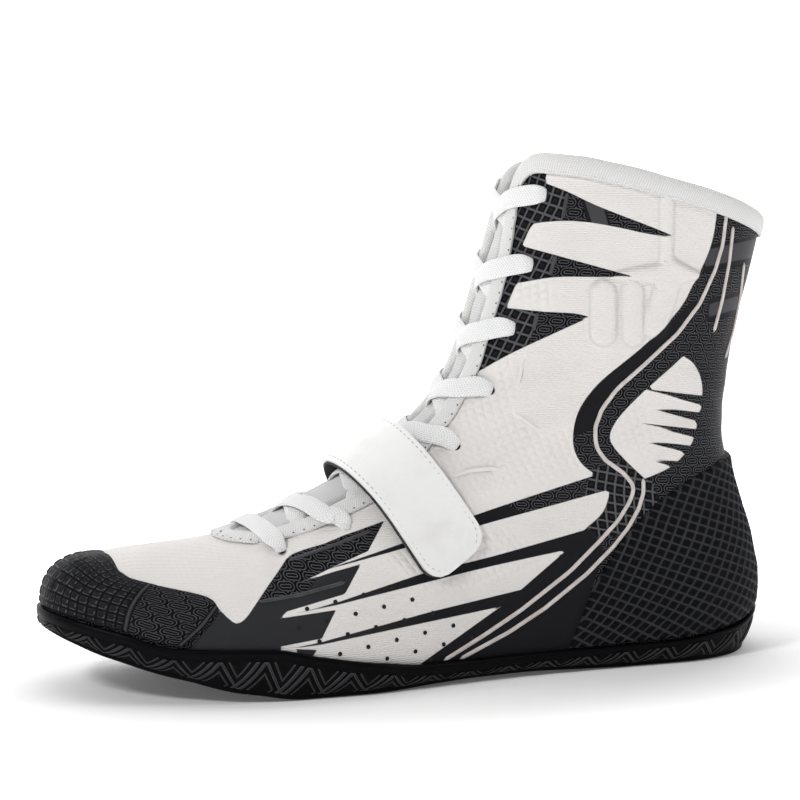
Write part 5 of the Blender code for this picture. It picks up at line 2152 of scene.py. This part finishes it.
@dataclass
class Laces:
    """The flat lace: a lowest bar and two runs that cross at each pair of lace holes."""

    last: Last
    width: float = 8.0
    thick: float = 1.5
    drop: float = 14.0
    step: float = 0.9
    sides: int = 14
    squareness: float = 0.6
    angle: float = 70.0

    def knots(self, first: Side) -> list[tuple[float, float, float, float]]:
        """A run's route from hole to hole.

        Args:
            first: the side that the run starts on.

        Returns:
            Reach, across, height over the last and share of the width, knot by knot.
        """
        side = first.value
        low = EYELETS[0]
        route = [
            (low.reach, side * low.across, -2.4, 0.45),
            (low.reach + 3.0, side * (low.across - 3.0), -3.6, 0.6),
        ]
        for eyelet in EYELETS[1:]:
            start = eyelet.reach - self.drop
            gap = float(self.last.throat_gap(start, Side(side)))
            far = float(self.last.throat_gap(start + 9.6, Side(-side)))
            over = 1.2 if side > 0 else 0.0
            land = 1.3 if far + 7.0 < eyelet.across - 4.2 else 1.8
            route += [
                (start - 5.0, side * (gap + 5.0), -3.5, 0.7),
                (start - 1.0, side * (gap - 1.5), -2.4, 0.85),
                (start + 3.4, side * 0.35 * gap, -0.4 + over, 1.0),
                (start + 7.0, -side * 0.45 * far, 0.8 + over, 1.0),
                (start + 9.6, -side * (far + 1.5), 2.2, 1.0),
                (eyelet.reach - 1.0, -side * (eyelet.across - 4.2), land, 1.0),
                (eyelet.reach, -side * (eyelet.across - 1.0), 0.6 * land, 0.8),
                (eyelet.reach + 0.4, -side * (eyelet.across + 0.4), -1.8, 0.5),
                (eyelet.reach + 1.6, -side * (eyelet.across - 1.5), -3.6, 0.5),
            ]
            side = -side
        return route

    def ribbon(self, name: str, route: Sequence[tuple[float, ...]]) -> Item:
        """A flat tube along a route on the instep.

        Args:
            name: the piece's name.
            route: reach, across, height and width share of each knot.

        Returns:
            The object.
        """
        line = smooth_line(route, 40 * len(route))
        spot, normal = self.last.instep_frame(line[:, 0], line[:, 1])
        path = spot + line[:, 2:3] * normal
        length = arc_length(path)
        at = np.arange(0.0, length[-1], self.step)
        path, normal = read_line(path, length, at), unit(read_line(normal, length, at))
        share = np.interp(at, length, line[:, 3])
        along = unit(np.gradient(path, axis=0))
        aside = unit(np.cross(normal, along))
        lift = np.cross(along, aside)
        turns = np.linspace(0.0, 2.0 * math.pi, self.sides + 1)
        flat = np.sign(np.cos(turns)) * np.abs(np.cos(turns)) ** self.squareness
        out = 0.5 * self.width * share[:, None] * flat[None, :]
        up = 0.5 * self.thick * (1.6 - 0.6 * share[:, None]) * np.sin(turns)[None, :]
        grid = path[:, None] + out[..., None] * aside[:, None] + up[..., None] * lift[:, None]
        tips = [np.repeat(path[end][None, None], len(turns), axis=1) for end in (0, -1)]
        grid = np.concatenate([tips[0], grid, tips[1]])
        run = widened(at)[:, None]
        weave = np.stack(np.broadcast_arrays(run, 0.5 * self.width * flat[None, :], 0.0 * run), axis=-1)
        return Bench.shell(name, grid, {"weave": weave}, self.angle)

    def dress(self) -> list[Item]:
        """Builds and finishes the lace."""
        weave = WovenCloth("lace_weave", (0.88, 0.88, 0.88), (0.68, 0.68, 0.685), 1.2, 0.2, 0.8).material()
        low = EYELETS[0]
        half = [
            (low.reach + 0.5, low.across - 1.5, -3.4, 0.5),
            (low.reach, low.across, -1.6, 0.45),
            (low.reach, low.across - 1.2, 1.4, 0.65),
            (low.reach - 0.6, low.across - 5.0, 2.6, 1.0),
            (low.reach - 1.2, 10.0, 1.7, 1.0),
        ]
        mirrored = [(reach, -across, height, share) for reach, across, height, share in half]
        bar = [*mirrored, (low.reach - 1.4, 0.0, 1.2, 1.0), *half[::-1]]
        made = [Bench.finish(self.ribbon("lace_low_bar", bar), weave, "white_lace", "lace_bar")]
        crossings = ["lace_cross_%d" % row for row in range(2, len(EYELETS) + 1)]
        for side, nodes in ((Side.LATERAL, crossings), (Side.MEDIAL, [])):
            run = self.ribbon("lace_run_" + side.column, self.knots(side))
            made.append(Bench.finish(run, weave, "white_lace", *nodes))
        return made


@dataclass
class Trim:
    """Piping lines, raised ridges, ventilation holes and lace holes on the upper."""

    last: Last
    view: PhotoView
    piping_width: float = 1.7
    piping_height: float = 0.55
    hole_radius: float = 0.85
    hole_proud: float = 0.18
    eyelet_radius: float = 1.75
    eyelet_proud: float = 0.25
    eyelet_tall: float = 1.2
    ridge_width: float = 1.6
    ridge_height: float = 0.6
    welt_width: float = 1.5
    welt_height: float = 0.24
    bead_sides: int = 10
    bead_taper: float = 5.0
    bead_lift: float = 0.1
    angle: float = 60.0
    piping = (
        (
            (727, 208), (722.6, 244), (715, 270), (700, 303), (678, 333), (643.5, 365.5), (617, 389),
            (602, 409), (595, 428), (596, 446), (604, 459), (625, 474.5), (634, 487), (630, 501),
            (618, 520.6), (598.7, 542), (569.7, 571.5), (521, 610), (485, 634.5), (438, 664),
        ),
        (
            (643, 478), (643.6, 491.5), (638.7, 508.5), (628, 528), (613, 547), (586.6, 574),
            (545, 608), (509, 632), (454, 662),
        ),
        ((733, 226), (729, 262), (722, 300), (712, 338)),
        ((744, 262), (740, 296), (733, 330), (723, 364)),
    )
    ridges = (
        ((567.6, 193), (562.4, 221.5)),
        ((555.4, 256), (549.8, 276.5)),
        ((537.6, 313), (532.8, 333)),
        ((259, 602), (300, 595), (352, 580.5)),
        ((288, 561), (335, 545), (378, 528)),
    )
    welts = (
        ((525.5, 351), (519, 379), (514, 413), (538, 430), (571, 421.5)),
        ((452, 477), (470, 470.5), (492, 468.5), (513, 474)),
    )
    hole_rows = (
        ((307, 609), 4), ((299, 628), 5), ((319.4, 641.4), 5),
        ((340, 654), 5), ((387, 658.5), 4), ((431, 659), 3),
    )
    hole_step = (28.3, -7.1)

    def strip(self, pixels: Sequence[Pixel], side: Side, wide: float, tall: float) -> Points:
        """A low rounded bead along a line of pixels.

        Args:
            pixels: the line in the photograph's frame.
            side: the side that it lies on.
            wide: its breadth.
            tall: its height.

        Returns:
            The bead's grid.
        """
        count = len(pixels)
        places = self.view.find(self.last, respace(np.array(pixels, float), 16 * count))
        places = smooth_line(respace(places, 24 * count)[::6], 40 * count)
        spot, normal = self.last.on(side, places), self.last.facing(side, places)
        along = unit(np.gradient(spot, axis=0))
        aside = unit(np.cross(normal, along))
        turns = np.linspace(0.0, 2.0 * math.pi, self.bead_sides + 1)
        steps = np.arange(len(spot))
        taper = np.clip(np.minimum(steps, steps[::-1]) / self.bead_taper, 0.02, 1.0)[:, None]
        out = 0.5 * wide * taper * np.cos(turns)
        up = self.bead_lift + tall * taper * np.sin(turns)
        return spot[:, None] + out[..., None] * aside[:, None] + up[..., None] * normal[:, None]

    def beads(self, name: str, lines: Sequence[Sequence[Pixel]], wide: float, tall: float) -> Item:
        """Beads along several lines on both sides, joined as one piece.

        Args:
            name: the piece's name.
            lines: lines in the photograph's frame.
            wide: the beads' breadth.
            tall: their height.

        Returns:
            The object.
        """
        parts = []
        for side in Side:
            for index, line in enumerate(lines):
                grid = self.strip(line, side, wide, tall)
                parts.append(Bench.close(Bench.grid("%s_%s_%d" % (name, side.column, index), grid)))
        Bench.pick(*parts)
        bpy.ops.object.join()
        parts[0].name = name
        return Bench.smooth(parts[0], self.angle)

    def holes(self) -> Points:
        """Frames of the ventilation holes on both sides."""
        pixels = []
        for start, count in self.hole_rows:
            pixels += [np.add(start, np.multiply(self.hole_step, step)) for step in range(count)]
        places = self.view.find(self.last, pixels)
        sizes = (self.hole_radius, self.hole_radius, 1.0)
        frames = []
        for side in Side:
            spot, normal = self.last.on(side, places), self.last.facing(side, places)
            frames.append(frames_on(spot + self.hole_proud * normal, AHEAD, normal, sizes))
        return np.concatenate(frames)

    def lace_holes(self) -> Points:
        """Frames of the lace holes on both sides."""
        reach, across = np.array(EYELETS).T
        sizes = (self.eyelet_radius, self.eyelet_radius, self.eyelet_tall)
        frames = []
        for side in Side:
            spot, normal = self.last.instep_frame(reach, side.value * across)
            frames.append(frames_on(spot + self.eyelet_proud * normal, AHEAD, normal, sizes))
        return np.concatenate(frames)

    def dress(self) -> list[Item]:
        """Builds and finishes the trim."""
        pale = PlainFinish("piping_line", (0.56, 0.50, 0.48), (0.66, 0.61, 0.59), 0.55).material()
        ridge = PlainFinish("print_ridge", (0.03, 0.031, 0.034), (0.05, 0.051, 0.055), 0.45).material()
        hole = PlainFinish("hole_shadow", (0.004, 0.004, 0.005), (0.012, 0.012, 0.013), 0.95).material()
        welt = PlainFinish("seam_welt", (0.80, 0.77, 0.75), (0.75, 0.72, 0.70), 0.8).material()
        pieces = (
            (self.beads("piping", self.piping, self.piping_width, self.piping_height), pale),
            (self.beads("print_ridges", self.ridges, self.ridge_width, self.ridge_height), ridge),
            (self.beads("seam_welts", self.welts, self.welt_width, self.welt_height), welt),
            (Bench.scatter("vent_holes", Bench.disc(16), self.holes()), hole),
            (Bench.scatter("lace_holes", Bench.disc(18), self.lace_holes()), hole),
        )
        return [Bench.finish(item, material, "white_knit") for item, material in pieces]


@dataclass
class Studio:
    """The pale floor and backdrop, both glowing from within, the soft lamps and the even sky."""

    floor_size: float = 40.0
    wall_size: float = 8.0
    wall_away: float = 1.7
    wall_glow: float = 0.75
    floor_glow: float = 0.62
    sky: float = 0.17
    aim: Triple = (0.0, 0.0, 0.08)

    def paper(self, name: str, glow: float, fade: bool) -> Material:
        """White paper lit from within, for the floor only away from the shoe.

        Args:
            name: the material's name.
            glow: how brightly it glows.
            fade: whether the glow fades towards the middle.

        Returns:
            The material.
        """
        graph = Graph(name, 0.9)
        graph.put("Base Color", (0.96, 0.96, 0.96))
        graph.put("Specular IOR Level", 0.1)
        graph.put("Emission Strength", glow)
        graph.put("Emission Color", (1.0, 1.0, 1.0))
        if fade:
            # painted light: the floor's glow is dimmer near the shoe and brighter away from it
            across, deep, _ = graph.split(graph.place())
            away = (across * across * 18.0 + deep * deep * 50.0).math("SQRT").step(0.5, 1.2)
            colour = graph.mix(away, (0.12, 0.12, 0.12), (1.0, 1.0, 1.0))
            graph.put("Emission Color", colour)
        return graph.material

    def sheet(self, name: str, paper: Material, **placing: object) -> None:
        """Adds one sheet of paper to the stage.

        Args:
            name: the sheet's name.
            paper: its material.
            placing: its size, place and turn.
        """
        Bench.pick()
        bpy.ops.mesh.primitive_grid_add(x_subdivisions=8, y_subdivisions=8, **placing)
        item = bpy.context.object
        item.name = name
        item.data.materials.append(paper)

    def floor(self) -> None:
        """Adds the floor and the backdrop behind the shoe."""
        self.sheet("studio_floor", self.paper("floor_paper", self.floor_glow, True), size=self.floor_size)
        place = (0.0, self.wall_away, 0.5 * self.wall_size)
        wall = self.paper("backdrop_paper", self.wall_glow, False)
        upright = (math.radians(90.0), 0.0, 0.0)
        self.sheet("studio_backdrop", wall, size=self.wall_size, location=place, rotation=upright)

    def lamp(self, name: str, place: Triple, size: float, power: float) -> None:
        """Adds one square lamp that faces the shoe.

        Args:
            name: the lamp's name.
            place: where it stands, in metres.
            size: its side.
            power: its power in watts.
        """
        turn = (Vector(self.aim) - Vector(place)).to_track_quat("-Z", "Y").to_euler()
        bpy.ops.object.light_add(type="AREA", location=place, rotation=turn)
        lamp = bpy.context.object
        lamp.name = name
        lamp.data.size = size
        lamp.data.energy = power

    def build(self) -> None:
        """Adds floor, lamps and sky."""
        self.floor()
        self.lamp("key_lamp", (-1.2, -0.7, 1.15), 0.3, 11.8)
        self.lamp("side_lamp", (1.3, -0.6, 0.9), 0.35, 5.0)
        self.lamp("top_lamp", (0.0, 0.1, 1.6), 1.2, 4.0)
        world = bpy.data.worlds.new("studio_sky")
        world.use_nodes = True
        backdrop = world.node_tree.nodes["Background"]
        backdrop.inputs["Color"].default_value = (1.0, 1.0, 1.0, 1.0)
        backdrop.inputs["Strength"].default_value = self.sky
        bpy.context.scene.world = world
        bpy.context.scene.view_settings.view_transform = "Standard"


def main() -> None:
    """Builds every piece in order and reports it."""
    logging.basicConfig(level=logging.INFO, format="%(name)s %(message)s")
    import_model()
    view = PhotoView()
    view.build()
    last = Last()
    plain = [kind(last) for kind in (ToeCap, HeelCounter, Outsole, Insole, Binding, Tongue, Strap, Laces)]
    for assembly in (Upper(last, Artwork(view)), *plain, Trim(last, view)):
        for piece in assembly.dress():
            LOG.info("%s: %d faces", piece.name, len(piece.data.polygons))
    Studio().build()


if __name__ == "__main__":
    main()
